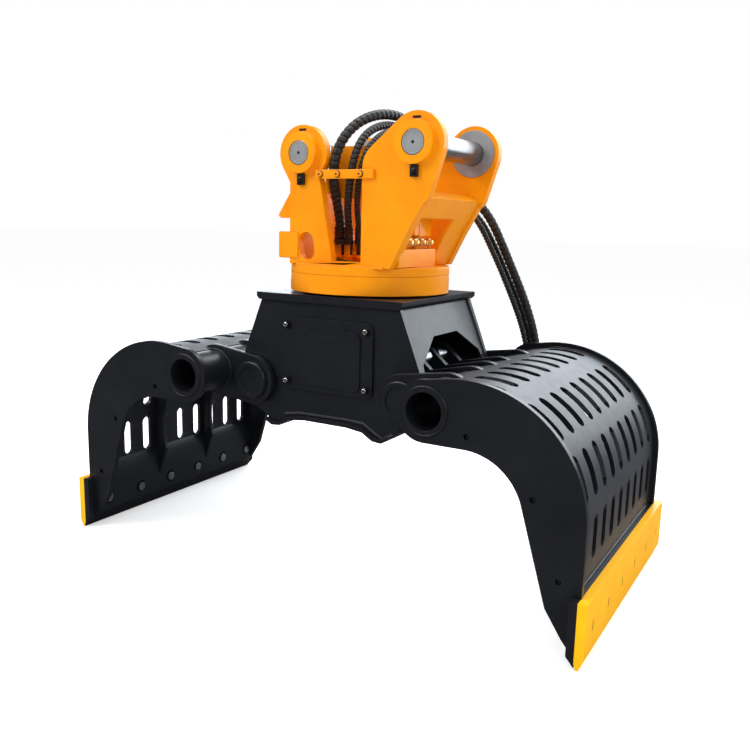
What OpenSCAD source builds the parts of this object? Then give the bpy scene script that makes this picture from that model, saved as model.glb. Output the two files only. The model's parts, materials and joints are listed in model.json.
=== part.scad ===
// Sorting grapple: a slewing pin bracket over a housing that carries two slotted jaws.
// X runs across the jaw opening, Y along the pivot pins, Z up from the blades' edges.

/* [Jaws] */
// Width of a cutting blade
blade_w = 1000; // [900:10:1200]
// Height of a cutting blade
blade_h = 195; // [170:5:220]
// Thickness of a cutting blade
blade_t = 26; // [20:1:50]
// Distance from the middle to a blade's outer face with the jaws open
open_reach = 989; // [975:1:1000]
// Angle that each jaw turns from open to closed
close_angle = 65.6; // [60:0.1:65.6]
// Width over the side plates of a jaw
jaw_w = 940; // [880:10:1000]
// Thickness of a jaw side plate
side_t = 20; // [16:1:30]
// Outer radius of the curved shell
shell_r = 356; // [340:2:370]
// Thickness of the shell
shell_t = 14; // [10:1:18]
// How far the side plates stand proud of the shell
rim = 20; // [10:1:28]
// Number of slots across the shell
slot_cols = 9; // [5:1:9]
// Width of a slot
slot_w = 42; // [24:1:46]
// Distance from slot to slot
slot_pitch = 99; // [80:1:100]
// Outer diameter of the torque tube
tube_od = 144; // [130:2:148]
// Inner diameter of the torque tube
tube_bore = 114; // [90:2:120]
// Number of blade bolts
blade_bolts_n = 6; // [4:1:8]
// Distance from blade bolt to blade bolt
blade_bolt_pitch = 168; // [120:1:180]

/* [Housing] */
// Length of the square top plate
top_w = 576; // [560:4:600]
// Thickness of the top plate
top_t = 25; // [20:1:35]
// Height of the top plate's upper face
top_z = 943; // [930:1:960]
// Thickness of the front and rear plates
face_t = 20; // [16:1:25]
// Distance from the middle to a jaw pivot
pivot_x = 299; // [290:1:305]
// Height of the jaw pivots
pivot_z = 630; // [620:1:640]
// Diameter of the jaw pivot pins
pivot_d = 80; // [70:1:90]
// Thickness of the belly plate
belly_t = 14; // [10:1:18]

/* [Cylinders] */
// Distance from a pivot to its cylinder pin
lever_r = 115; // [112:1:118]
// Outer diameter of a cylinder barrel
barrel_od = 94; // [86:1:95]
// Bore of a cylinder barrel
barrel_bore = 74; // [64:1:80]
// Diameter of a piston rod
rod_d = 55; // [45:1:60]
// Distance between the two cylinders' axes
cylinder_pitch = 120; // [119:1:123]
// Diameter of a cylinder pin
lever_pin_d = 50; // [44:1:54]

/* [Slewing ring] */
// Outer diameter of the slewing ring
ring_od = 568; // [560:2:580]
// Height of the slewing ring's outer race
ring_h = 63; // [56:1:70]
// Diameter of the joint between the two races
race_d = 478; // [460:2:480]
// Module of the ring gear's teeth
gear_module = 6.667; // [6:0.001:6.667]

/* [Bracket] */
// Thickness of the base flange
flange_t = 30; // [24:1:36]
// Distance over the two cheeks
cheek_over = 474; // [460:2:480]
// Thickness of a cheek
cheek_t = 32; // [25:1:36]
// Diameter of the two attachment pins
pin_d = 80; // [76:1:84]
// Length of the bosses over both ears
boss_over = 522; // [510:2:540]
// Place of the stick pin across the bracket
stick_x = -134; // [-140:1:-128]
// Height of the stick pin
stick_z = 1411; // [1405:1:1420]
// Place of the link pin across the bracket
link_x = 293; // [286:1:298]
// Height of the link pin
link_z = 1435; // [1428:1:1442]
// Radius of the left ears
ear_r = 92; // [88:1:96]

/* [Hoses] */
// Diameter of the large hose over its spiral guard
hose_large_d = 34; // [28:1:38]
// Diameter of the middle hose over its spiral guard
hose_middle_d = 27; // [24:1:30]
// Diameter of the small hose over its spiral guard
hose_small_d = 21; // [18:1:24]

/* [Hidden] */
$fn = 96;
black = [0.12, 0.12, 0.13];
orange = [1.0, 0.62, 0.0];
yellow = [1.0, 0.75, 0.0];
steel = [0.62, 0.63, 0.65];
zinc = [0.85, 0.86, 0.88];
bronze = [0.72, 0.50, 0.22];
rubber = [0.10, 0.10, 0.11];

// Clearance of a fit, overrun of a cut and lap of two forms that are one piece
fit = 0.3;
cut = 2;
lap = 1;

// Jaw layout, drawn for the right jaw with the left one mirrored
blade_lean = 13;
blade_tip_t = 8;
blade_bevel_h = 30;
blade_bevel_back_h = 20;
blade_tip_x = open_reach - blade_lean;
blade_back_x = open_reach - blade_t;
side_lap = 2;
side_x = blade_back_x + side_lap;
holder_t = 48;
holder_plate_t = 24;
holder_x = blade_back_x - holder_t;
holder_low_z = 6;
holder_corner_z = 62;
side_corner_in = 52;
side_corner_z = 141;
arc_z = 383;
seam_turn = 2;
arc_x = side_x - shell_r - rim;
tube_share = 0.5794;
tube_x = pivot_x + tube_share * (arc_x - pivot_x);
tube_z = 651;
tube_end_r = 95;
tube_proud = 4;
throat_out = 9;
throat_x = arc_x + throat_out;
throat_r = 188;
throat_z = tube_z - tube_end_r - throat_r;
plate_y = jaw_w / 2;
plate_in_y = plate_y - side_t;
tube_r = tube_od / 2;
slot_len = 140;
slot_angles = [85, 51, 20.4];
slot_low_z = 317;
slot_low_len = 134;
rib_t = 14;
rib_y_share = 1.44;
rib_y = slot_pitch * rib_y_share;
rib_back = 13;
rib_drop = 48;
rib_deep = 45;
rib_foot_z = 135;
rib_low_z = slot_low_z - slot_low_len / 2 - cut;
drain_r = 9;
drain_high_shares = [0.042, 0.596];
drain_low_shares = [0.865, -0.435];
drain_mid_shares = [0.620, 0.181];
blade_bolt_z = 105;
blade_bolt_r = 11;
blade_head_r = 21;
blade_head_h = 13;
nut_r = 19;
nut_h = 20;
nut_sink = 16;
nut_seat_r = 24;
mark_len = 30;
mark_w = 7;
mark_depth = 6;

// Arms, hubs and pins of a jaw
pin_r = pivot_d / 2;
arm_gap = 6;
arm_t = 24;
hub_r = 88;
arm_tube_r = 90;
top_over = 12;
face_y = top_w / 2 - top_over;
arm_y = face_y + arm_gap;
cap_r = 67;
cap_t = 14;
cap_edge = 4;
cap_ring_t = 5;
cap_disc_r = 46;
crank_t = 24;
crank_hub_r = 72;
crank_tube_r = 86;
crank_eye_r = 42;
lever_a = close_angle / 2;
lever_x = pivot_x - lever_r * sin(lever_a);
lever_z = pivot_z + lever_r * cos(lever_a);
lever_pin_r = lever_pin_d / 2;

// Cylinders at rest, shut, with the rod out by the stroke when the jaws close
eye_r = 40;
eye_w = 60;
rod_eye_slack = 4;
eye_weld = 4;
rod_gap = 8;
barrel_cap = 36;
gland_len = 44;
piston_len = 50;
barrel_x0 = -lever_x + eye_r - eye_weld;
barrel_x1 = lever_x - eye_r - rod_gap;

// Housing outline
shoulder_in = 13;
shoulder_x = top_w / 2 - shoulder_in;
shoulder_z = top_z - top_t;
hip_r = 6;
hip_out = 57;
hip_x = pivot_x + hip_out;
hip_z = 696;
lobe_r = 88;
foot_r = 16;
foot_in = 77;
foot_x = pivot_x - foot_in;
belly_low_z = 473;
belly_rise = 35;
belly_x_shares = [0.823, 0.746, 0.635, 0.502, 0.284];
belly_z_shares = [0.343, 0, 0.086, 0.771, 1];
foot_z = belly_low_z + belly_t + foot_r + lap;
belly_lip = 14;
lip_y = face_y + belly_lip;
bush_r = 54;
bush_len = 50;
bush_proud = 4;
bush_y1 = face_y + bush_proud;
bush_y0 = bush_y1 - bush_len;
boss_out_r = 76;
end_t = 14;
end_inset = 6;
end_low_z = 701;
hatch_top_z = 816;
hatch_mid_z = 738;
hatch_top_y = 92;
hatch_mid_y = 224;
hatch_low_y = 233;
cover_t = 8;
cover_pad_t = 5;
cover_x = 182;
cover_low_z = 616;
cover_high_z = 864;
cover_corner_r = 22;
cover_bolt_x = 158.5;
cover_bolt_z0 = 643.5;
cover_bolt_z1 = 838;
cover_head_r = 11;
cover_head_h = 9;
cover_washer_r = 17;
cover_washer_h = 3;
pad_x = 136;
pad_low_z = 634;
pad_high_z = 830;
pad_dip_r = 150;
top_chamfer = 10;

// Slewing ring, its gear and the swivel in the middle
ring_teeth = 60;
pinion_teeth = 12;
ring_r = ring_od / 2;
race_r = race_d / 2;
ring_lift = 7;
ring_z0 = top_z + ring_lift;
ring_z1 = ring_z0 + ring_h;
gear_drop = 8;
gear_top_z = ring_z1 - gear_drop;
gear_pitch_r = gear_module * ring_teeth / 2;
pinion_pitch_r = gear_module * pinion_teeth / 2;
pinion_x = gear_pitch_r - pinion_pitch_r;
pinion_shaft_r = 24;
tooth_add = gear_module * 0.75;
tooth_ded = gear_module * 1.15;
tooth_backlash = 2.8;
flange_z1 = ring_z1 + flange_t;
swivel_core_r = 52;
swivel_r = 76;
swivel_bore_r = 60;
swivel_drop = 63;
swivel_z0 = top_z - swivel_drop;
swivel_core_rise = 40;
swivel_core_z1 = flange_z1 + swivel_core_rise;
swivel_head_h = 66;
swivel_head_z1 = flange_z1 + swivel_head_h;
ring_bolt_n = 20;
ring_bolt_r = 10;
ring_bolt_h = 12;
ring_bolt_pcr = 219;
top_hole_r = 70;

// Bracket cheeks
cheek_y = cheek_over / 2;
cheek_in_y = cheek_y - cheek_t;
boss_y = boss_over / 2;
boss_r = 66;
pin_ext_r = pin_d / 2;
link_ear_more = 4;
link_ear_r = ear_r + link_ear_more;
cheek_left_x = -184;
notch_left_x = -64;
notch_low_left_x = -8;
notch_low_right_x = 101;
notch_sill = 15;
notch_z = flange_z1 + notch_sill;
shoulder_r = 84;
neck_r = 50;
neck_z = 1330;
flank_r = 42;
flank_x = -81;
flank_z = 1396;
slant_low_x = 212;
slant_mid_x = 265;
slant_mid_z = 1150;
slant_high_x = 346;
slant_high_z = 1291;
oval_x = -115;
oval_z = 1105;
oval_r = 31;
oval_h = 94;
oval_tilt = 10;
washer_r = 81;
washer_t = 6;
lock_w = 26;
lock_h = 40;
lock_t = 14;
lock_drop = 64;
lock_bolt_r = 9;
ear_slot_w = 30;
ear_slot_h = 8;
ear_slot_t = 10;
ear_slot_rise = 72;
web_t = 16;
web_high_z = 1320;
lug_x = -257;
lug_z = 1207;
box_t = 16;
box_step = 4;
box_top_z = 1290;
box_low_z = 1205;
box_front_y = 170;
box_rear_y = 76;
guard_x0 = -228;
guard_y1 = -120;
guard_z0 = 1062;
guard_z1 = 1152;
guard_t = 8;
bar_x0 = -74;
bar_x1 = 148;
bar_z0 = 1327;
bar_z1 = 1356;
bar_t = 12;
bar_bolts = [-54, 13, 100];
bar_bolt_r = 8;
bar_bolt_h = 6;

// Slewing motor over the pinion
motor_base_w = 130;
motor_base_h = 60;
motor_body_r = 46;
motor_body_h = 44;
motor_block_x = 84;
motor_block_y = 96;
motor_block_h = 62;
motor_corner_r = 12;
motor_bolt_r = 8;
motor_bolt_h = 8;
motor_bolt_in = 18;
motor_fit_r = 11;
motor_fit_len = 22;

// Hose routes, from the swivel fittings up, over and down behind the right jaw
hose_large_route = [[-54, -120, 1130], [-54, -120, 1174], [-51, -136, 1222], [-45, -162, 1270],
    [-36, -190, 1316], [-26, -207, 1362], [-14, -210, 1412], [4, -197, 1460], [28, -164, 1504],
    [54, -108, 1536], [76, -40, 1550], [92, 36, 1546], [100, 108, 1522], [99, 172, 1482],
    [98, 222, 1440], [100, 258, 1402], [114, 290, 1368], [146, 320, 1338], [192, 343, 1312],
    [244, 362, 1276], [290, 384, 1220], [328, 412, 1138], [364, 446, 1040], [402, 478, 936],
    [436, 506, 826], [456, 532, 712], [464, 546, 570], [466, 552, 420], [466, 552, 270]];
hose_middle_route = [[-15, -126, 1130], [-15, -126, 1172], [-8, -144, 1218], [8, -170, 1266],
    [28, -195, 1314],
    [44, -208, 1358], [54, -206, 1402], [62, -186, 1446], [70, -146, 1482], [78, -92, 1505],
    [84, -30, 1515], [86, 36, 1511], [82, 98, 1492], [74, 152, 1462], [64, 204, 1422],
    [58, 256, 1374], [80, 306, 1330], [126, 346, 1292], [182, 370, 1262], [234, 390, 1224],
    [272, 414, 1166], [308, 446, 1082], [344, 476, 988], [382, 506, 886], [412, 534, 776],
    [430, 560, 652], [436, 574, 520], [436, 580, 400], [436, 580, 290]];
hose_small_route = [[12, -106, 1130], [12, -106, 1172], [20, -128, 1218], [38, -160, 1266],
    [58, -188, 1314],
    [76, -203, 1360], [88, -197, 1404], [97, -172, 1442], [104, -124, 1474], [109, -66, 1493],
    [111, -4, 1499], [109, 56, 1490], [102, 114, 1466], [93, 168, 1430], [85, 220, 1386],
    [88, 264, 1343], [118, 298, 1306], [162, 318, 1278], [212, 334, 1250], [256, 358, 1200],
    [292, 390, 1122], [330, 424, 1026], [366, 454, 928], [400, 482, 826], [424, 504, 722],
    [436, 520, 600], [438, 528, 500], [438, 528, 400], [438, 528, 300]];
hose_sides = 10;
fitting_share = 1.15;
fitting_pipe_share = 0.7;
coupling_h = 62;

// Basic shapes
module slab(y0, y1) {
    translate([0, y1, 0]) rotate([90, 0, 0]) linear_extrude(y1 - y0) children();
}

module both_sides(y0, y1) {
    slab(y0, y1) children();
    slab(-y1, -y0) children();
}

module rod_y(x, z, r, y0, y1) {
    translate([x, y1, z]) rotate([90, 0, 0]) cylinder(r = r, h = y1 - y0);
}

module rod_x(x0, x1, y, z, r) {
    translate([x0, y, z]) rotate([0, 90, 0]) cylinder(r = r, h = x1 - x0);
}

module disc(p, r) {
    translate(p) circle(r = r);
}

// A flat link with round ends and straight tangents
module link(p1, r1, p2, r2) {
    a = atan2(p2[1] - p1[1], p2[0] - p1[0]);
    b = acos((r1 - r2) / norm(p2 - p1));
    disc(p1, r1);
    disc(p2, r2);
    polygon([
        p1 + r1 * [cos(a + b), sin(a + b)],
        p2 + r2 * [cos(a + b), sin(a + b)],
        p2 + r2 * [cos(a - b), sin(a - b)],
        p1 + r1 * [cos(a - b), sin(a - b)]]);
}

module stadium(w, len) {
    square([w, len - w], center = true);
    for (s = [-1, 1]) translate([0, s * (len - w) / 2]) circle(d = w);
}

module rounded_box2(w, h, r) {
    square([w - 2 * r, h], center = true);
    square([w, h - 2 * r], center = true);
    for (sx = [-1, 1], sy = [-1, 1]) translate([sx * (w / 2 - r), sy * (h / 2 - r)]) circle(r = r);
}

// Right jaw in the XZ plane
arc_c = [arc_x, arc_z];
tube_c = [tube_x, tube_z];
pivot_c = [pivot_x, pivot_z];
lever_c = [lever_x, lever_z];
throat_c = [throat_x, throat_z];
holder_c = [holder_x, holder_corner_z];
side_corner_c = [holder_x - side_corner_in, side_corner_z];

// Angle of the normal of the line that touches the arc and a circle round the tube
function top_angle(r1, r2) =
    atan2(tube_z - arc_z, tube_x - arc_x) - acos((r1 - r2) / norm(tube_c - arc_c));

// Everything inside an arc of radius r1 round the shell centre and r2 round the tube
module jaw_region(r1, r2, low_z) {
    a = top_angle(r1, r2);
    n = [cos(a), sin(a)];
    intersection() {
        disc(arc_c, r1);
        polygon([arc_c, arc_c + 2 * r1 * [1, 0], arc_c + 2 * r1 * [1, 1],
            arc_c + 2 * r1 * [cos(a + seam_turn), sin(a + seam_turn)]]);
    }
    polygon([arc_c, arc_c + r1 * n, tube_c + r2 * n, tube_c, [tube_x, arc_z]]);
    translate([tube_x, low_z]) square([arc_x + r1 - tube_x, arc_z - low_z]);
}

// Space under the inner edge of the side plates
module throat() {
    a = atan2(side_corner_c[1] - throat_z, side_corner_c[0] - throat_x)
        + acos(throat_r / norm(side_corner_c - throat_c));
    t = throat_c + throat_r * [cos(a), sin(a)];
    disc(throat_c, throat_r);
    polygon([t, side_corner_c, holder_c, [holder_x, 0], [throat_x - throat_r, 0],
        [throat_x - throat_r, throat_z + throat_r], [throat_x, throat_z + throat_r], throat_c]);
}

module side_plate_2d() {
    difference() {
        union() {
            disc(tube_c, tube_end_r);
            jaw_region(shell_r + rim, tube_end_r - lap, blade_h);
            translate([holder_x - throat_r, holder_corner_z])
                square([throat_r, blade_h + cut - holder_corner_z]);
        }
        throat();
        disc(tube_c, tube_r + fit);
        for (p = [drain_high_shares, drain_mid_shares, drain_low_shares]) disc(arc_c + shell_r * p, drain_r);
    }
}

module shell_2d() {
    difference() {
        jaw_region(shell_r, tube_r, blade_h);
        jaw_region(shell_r - shell_t, tube_r - shell_t, blade_h - cut);
        disc(tube_c, tube_r + fit);
        translate([tube_x - tube_r, tube_z]) square([tube_r + shell_t / 2, 2 * tube_r]);
    }
}

// Inner edge of a rib at its lower end
rib_edge_x = arc_x - rib_back
    + sqrt(pow(shell_r - rib_deep, 2) - pow(arc_z - rib_drop - rib_low_z, 2));

module rib_2d() {
    polygon([[rib_edge_x, rib_low_z + lap], [holder_x + shell_t - fit, rib_low_z + lap],
        [holder_x + shell_t - fit, rib_low_z], [holder_x - fit, rib_low_z - 2 * rim],
        [holder_x - fit, rib_foot_z]]);
    difference() {
        jaw_region(shell_r - shell_t - fit, tube_r - shell_t, rib_low_z);
        disc(arc_c - [rib_back, rib_drop], shell_r - rib_deep);
        disc(tube_c, tube_r + fit);
        translate([tube_x - tube_r, tube_z]) square([tube_r * 1.5, 2 * tube_r]);
    }
}

module outer_arm_2d(grow) {
    link(pivot_c, hub_r + grow, tube_c, arm_tube_r + grow);
}

module crank_2d(grow) {
    link(pivot_c, crank_hub_r + grow, tube_c, crank_tube_r + grow);
    link(pivot_c, crank_hub_r + grow, lever_c, crank_eye_r + grow);
}

crank_ys = [-cylinder_pitch, 0, cylinder_pitch];

module side_plates() {
    color(black) both_sides(plate_in_y, plate_y) side_plate_2d();
}

module slot_cutters() {
    y0 = -(slot_cols - 1) / 2 * slot_pitch;
    for (c = [0 : slot_cols - 1]) {
        for (a = slot_angles)
            translate([arc_x, y0 + c * slot_pitch, arc_z]) rotate([0, 90 - a, 0])
                translate([0, 0, shell_r - shell_t - rim]) rotate([0, 0, 90])
                    linear_extrude(shell_t + 2 * rim) stadium(slot_w, slot_len);
        translate([arc_x + shell_r - shell_t - rim, y0 + c * slot_pitch, slot_low_z])
            rotate([0, 90, 0]) rotate([0, 0, 90])
                linear_extrude(shell_t + 2 * rim) stadium(slot_w, slot_low_len);
    }
}

module shell() {
    color(black) difference() {
        slab(-plate_in_y, plate_in_y) shell_2d();
        slot_cutters();
        both_sides(arm_y - fit, arm_y + arm_t + fit) outer_arm_2d(fit);
        for (y = crank_ys) slab(y - crank_t / 2 - fit, y + crank_t / 2 + fit) crank_2d(fit);
    }
}

module ribs() {
    color(black) both_sides(rib_y - rib_t / 2, rib_y + rib_t / 2) rib_2d();
}

module torque_tube() {
    color(black) difference() {
        rod_y(tube_x, tube_z, tube_r, -plate_y - tube_proud, plate_y + tube_proud);
        rod_y(tube_x, tube_z, tube_bore / 2, -plate_y - tube_proud - cut, plate_y + tube_proud + cut);
    }
}

module blade_bolt_places() {
    for (i = [0 : blade_bolts_n - 1])
        translate([0, (i - (blade_bolts_n - 1) / 2) * blade_bolt_pitch, blade_bolt_z]) children();
}

module holder_2d() {
    polygon([[blade_back_x, holder_low_z], [blade_back_x, blade_h], [holder_x, blade_h],
        [holder_x, holder_corner_z]]);
}

module blade_holder() {
    color(black) difference() {
        union() {
            slab(-plate_y, plate_y) holder_2d();
            slab(-blade_w / 2, blade_w / 2) intersection() {
                holder_2d();
                translate([blade_back_x - holder_plate_t, 0]) square([holder_plate_t, blade_h]);
            }
            slab(-plate_in_y, plate_in_y) polygon([
                [arc_x + shell_r - shell_t, blade_h], [arc_x + shell_r - shell_t, rib_low_z],
                [holder_x + shell_t, rib_low_z], [holder_x, rib_low_z - 2 * rim],
                [holder_x, blade_h]]);
        }
        blade_bolt_places() {
            rod_x(holder_x - cut, blade_back_x + cut, 0, 0, blade_bolt_r + fit);
            rod_x(holder_x - cut, holder_x + nut_sink, 0, 0, nut_seat_r);
        }
    }
}

module blade() {
    color(yellow) difference() {
        slab(-blade_w / 2, blade_w / 2) polygon([[blade_tip_x, 0], [open_reach, blade_bevel_h],
            [open_reach, blade_h], [blade_back_x, blade_h], [blade_back_x, blade_bevel_back_h],
            [blade_tip_x - blade_tip_t, 0]]);
        blade_bolt_places() {
            rod_x(blade_back_x - cut, open_reach + cut, 0, 0, blade_bolt_r + fit);
            rod_x(open_reach - blade_head_h, open_reach + cut, 0, 0, blade_head_r + fit);
        }
    }
}

module blade_bolts() {
    color(zinc) blade_bolt_places() {
        rod_x(holder_x + nut_sink - nut_h, open_reach - blade_head_h + lap, 0, 0, blade_bolt_r);
        difference() {
            rod_x(open_reach - blade_head_h, open_reach, 0, 0, blade_head_r);
            translate([open_reach - mark_depth, 0, 0]) rotate([0, 90, 0])
                linear_extrude(mark_depth + cut) rotate(90) stadium(mark_w, mark_len);
        }
        translate([holder_x + nut_sink - nut_h, 0, 0]) rotate([0, 90, 0])
            cylinder(r = nut_r, h = nut_h, $fn = 6);
    }
}

module outer_arms() {
    color(black) both_sides(arm_y, arm_y + arm_t) difference() {
        outer_arm_2d(0);
        disc(pivot_c, pin_r + fit);
        disc(tube_c, tube_r + fit);
    }
}

module cranks() {
    color(black) for (y = crank_ys) slab(y - crank_t / 2, y + crank_t / 2) difference() {
        crank_2d(0);
        disc(pivot_c, pin_r + fit);
        disc(tube_c, tube_r + fit);
        disc(lever_c, lever_pin_r + fit);
    }
}

module hub_caps() {
    color(black) for (s = [0, 1]) mirror([0, s, 0]) translate([pivot_x, -arm_y - arm_t, pivot_z])
        rotate([90, 0, 0]) difference() {
            union() {
                cylinder(r = cap_r, h = cap_t - cap_edge);
                translate([0, 0, cap_t - cap_edge])
                    cylinder(r1 = cap_r, r2 = cap_r - cap_edge, h = cap_edge);
            }
            translate([0, 0, cap_t - cap_ring_t]) cylinder(r = cap_disc_r, h = cap_ring_t + cut);
        }
}

module pivot_pin() {
    color(steel) rod_y(pivot_x, pivot_z, pin_r, -arm_y - arm_t, arm_y + arm_t);
}

module lever_pin() {
    y = cylinder_pitch + crank_t / 2 + rim / 2;
    color(steel) rod_y(lever_x, lever_z, lever_pin_r, -y, y);
}

// Cylinders
module cylinder_barrel(y) {
    color(black) difference() {
        union() {
            rod_x(barrel_x0, barrel_x1, y, lever_z, barrel_od / 2);
            rod_y(-lever_x, lever_z, eye_r, y - eye_w / 2, y + eye_w / 2);
            translate([-lever_x, y - eye_w / 2, lever_z - eye_r * 0.8])
                cube([eye_r + lap, eye_w, eye_r * 1.6]);
        }
        rod_y(-lever_x, lever_z, lever_pin_r + fit, y - eye_w, y + eye_w);
        rod_x(barrel_x0 + barrel_cap, barrel_x1 - gland_len, y, lever_z, barrel_bore / 2);
        rod_x(barrel_x1 - gland_len - cut, barrel_x1 + cut, y, lever_z, rod_d / 2 + fit);
    }
}

module cylinder_rod(y) {
    piston_x = barrel_x0 + barrel_cap + cut;
    color(zinc) difference() {
        union() {
            rod_x(piston_x, piston_x + piston_len, y, lever_z, barrel_bore / 2 - fit);
            rod_x(piston_x + piston_len - cut, lever_x - lever_pin_r, y, lever_z, rod_d / 2);
            rod_y(lever_x, lever_z, eye_r, y - eye_w / 2, y + eye_w / 2);
        }
        rod_y(lever_x, lever_z, lever_pin_r + rod_eye_slack, y - eye_w, y + eye_w);
    }
}

// Housing
module top_plate() {
    w = top_w / 2;
    color(black) difference() {
        slab(-w, w) polygon([[-w, top_z], [w, top_z], [w, top_z - top_t + top_chamfer],
            [w - top_chamfer, top_z - top_t], [top_chamfer - w, top_z - top_t],
            [-w, top_z - top_t + top_chamfer]]);
        translate([0, 0, top_z - top_t - cut]) cylinder(r = top_hole_r, h = top_t + 2 * cut);
        for (i = [0 : ring_bolt_n - 1]) rotate([0, 0, i * 360 / ring_bolt_n])
            translate([ring_bolt_pcr, 0, top_z - top_t - cut])
                cylinder(r = ring_bolt_r + fit, h = top_t + 2 * cut);
    }
}

// Underside of the belly plate from one end to the other
belly_n = len(belly_x_shares);
belly_low = [for (s = [1, -1]) for (k = [0 : belly_n - 1]) let (i = s > 0 ? k : belly_n - 1 - k)
    [s * belly_x_shares[i] * pivot_x, belly_low_z + belly_z_shares[i] * belly_rise]];
belly_top = [for (p = belly_low) p + [0, belly_t]];

module belly_2d() {
    polygon(concat(belly_low, [for (i = [len(belly_top) - 1 : -1 : 0]) belly_top[i]]));
}

module face_outline() {
    n = len(belly_top);
    difference() {
        union() {
            polygon(concat([[shoulder_x, shoulder_z], [hip_x + hip_r, hip_z + hip_r / 2], pivot_c],
                [for (i = [1 : n - 2]) belly_top[i]],
                [[-pivot_x, pivot_z], [-hip_x - hip_r, hip_z + hip_r / 2],
                [-shoulder_x, shoulder_z]]));
            for (s = [-1, 1]) scale([s, 1]) {
                link(pivot_c, lobe_r, [foot_x, foot_z], foot_r);
                link(pivot_c, lobe_r, [hip_x, hip_z], hip_r);
            }
        }
        belly_2d();
    }
}

module face_plate() {
    color(black) difference() {
        union() {
            slab(-face_y, face_t - face_y) face_outline();
            for (s = [-1, 1])
                rod_y(s * pivot_x, pivot_z, boss_out_r, face_t - face_y - lap, -bush_y0);
        }
        for (s = [-1, 1])
            rod_y(s * pivot_x, pivot_z, bush_r + fit, -face_y - cut, face_t + cut - bush_y0);
        for (x = [-1, 1], z = [cover_bolt_z0, cover_bolt_z1])
            rod_y(x * cover_bolt_x, z, cover_head_r * 0.7 + fit, -face_y - cut, face_t + cut - face_y);
    }
}

module front_plate() face_plate();
module rear_plate() mirror([0, 1, 0]) face_plate();

module end_plates() {
    y = face_y - face_t;
    run = (hip_x + hip_r - shoulder_x) / (shoulder_z - hip_z - hip_r / 2);
    low_x = shoulder_x - end_inset + run * (shoulder_z - end_low_z);
    color(black) for (s = [0, 1]) mirror([s, 0, 0]) difference() {
        slab(-y, y) polygon([[shoulder_x - end_inset, shoulder_z], [low_x, end_low_z],
            [low_x - end_t, end_low_z], [shoulder_x - end_inset - end_t, shoulder_z]]);
        translate([pivot_x - ring_r / 2, 0, 0]) rotate([90, 0, 90]) linear_extrude(ring_r) polygon([
            [-hatch_top_y, hatch_top_z], [hatch_top_y, hatch_top_z], [hatch_mid_y, hatch_mid_z],
            [hatch_low_y, end_low_z - cut], [-hatch_low_y, end_low_z - cut],
            [-hatch_mid_y, hatch_mid_z]]);
    }
}

module belly_plate() {
    color(black) slab(-lip_y, lip_y) belly_2d();
}

module pivot_bushes() {
    color(bronze) for (sx = [-1, 1], sy = [0, 1]) mirror([0, sy, 0]) difference() {
        rod_y(sx * pivot_x, pivot_z, bush_r, -bush_y1, -bush_y0);
        rod_y(sx * pivot_x, pivot_z, pin_r + fit, -bush_y1 - cut, cut - bush_y0);
    }
}

module cover() {
    color(black) difference() {
        union() {
            translate([0, 0, (cover_low_z + cover_high_z) / 2]) slab(-face_y - cover_t, -face_y)
                rounded_box2(2 * cover_x, cover_high_z - cover_low_z, cover_corner_r);
            difference() {
                translate([0, 0, (pad_low_z + pad_high_z) / 2])
                    slab(-face_y - cover_t - cover_pad_t, -face_y - cover_t + lap)
                        rounded_box2(2 * pad_x, pad_high_z - pad_low_z, cover_corner_r);
                rod_y(0, pad_high_z + pad_dip_r - rim, pad_dip_r, -face_y - 2 * rim, -face_y - cover_t);
            }
        }
        for (x = [-1, 1], z = [cover_bolt_z0, cover_bolt_z1])
            rod_y(x * cover_bolt_x, z, cover_head_r * 0.7 + fit, -face_y - 2 * rim, cut - face_y);
    }
}

module front_cover() cover();
module rear_cover() mirror([0, 1, 0]) cover();

module housing_bolts() {
    y = face_y + cover_t;
    color(zinc) for (s = [0, 1], x = [-1, 1], z = [cover_bolt_z0, cover_bolt_z1]) mirror([0, s, 0]) {
        rod_y(x * cover_bolt_x, z, cover_head_r * 0.7, -y - lap, face_t - face_y);
        rod_y(x * cover_bolt_x, z, cover_washer_r, -y - cover_washer_h, -y);
        translate([x * cover_bolt_x, -y - cover_washer_h, z]) rotate([90, 0, 0])
            cylinder(r = cover_head_r, h = cover_head_h, $fn = 6);
    }
    color(steel) for (i = [0 : ring_bolt_n - 1]) rotate([0, 0, i * 360 / ring_bolt_n])
        translate([ring_bolt_pcr, 0, top_z - top_t]) {
            cylinder(r = ring_bolt_r * 0.8 - fit, h = 2 * top_t - cut);
            translate([0, 0, -ring_bolt_h]) cylinder(r = ring_bolt_r * 1.4, h = ring_bolt_h, $fn = 6);
        }
}

// Outline of n trapezoid teeth from radius r0 to r1, w0 and w1 being half their width there
function teeth_outline(n, r0, r1, w0, w1, turn) = [
    for (i = [0 : n - 1]) for (k = [[-w0, r0], [-w1, r1], [w1, r1], [w0, r0]])
        let (a = 360 / n * i + k[0] / k[1] * 180 / PI + turn) k[1] * [cos(a), sin(a)]];

tooth_half = gear_module * PI / 4;
tooth_slope = tan(20);

module slew_ring_gear() {
    root_r = gear_pitch_r + tooth_ded;
    tip_r = gear_pitch_r - tooth_add;
    // The outline follows the tooth gaps of the inner edge
    color(steel) difference() {
        translate([0, 0, top_z]) cylinder(r = race_r - fit, h = gear_top_z - top_z);
        translate([0, 0, top_z - cut]) linear_extrude(gear_top_z - top_z + 2 * cut)
            polygon(teeth_outline(ring_teeth, tip_r, root_r,
                tooth_half + tooth_add * tooth_slope + tooth_backlash / 2,
                tooth_half - tooth_ded * tooth_slope + tooth_backlash / 2, 0));
        for (i = [0 : ring_bolt_n - 1]) rotate([0, 0, i * 360 / ring_bolt_n])
            translate([ring_bolt_pcr, 0, top_z - cut]) cylinder(r = ring_bolt_r * 0.8, h = top_t + cut);
    }
}

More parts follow.
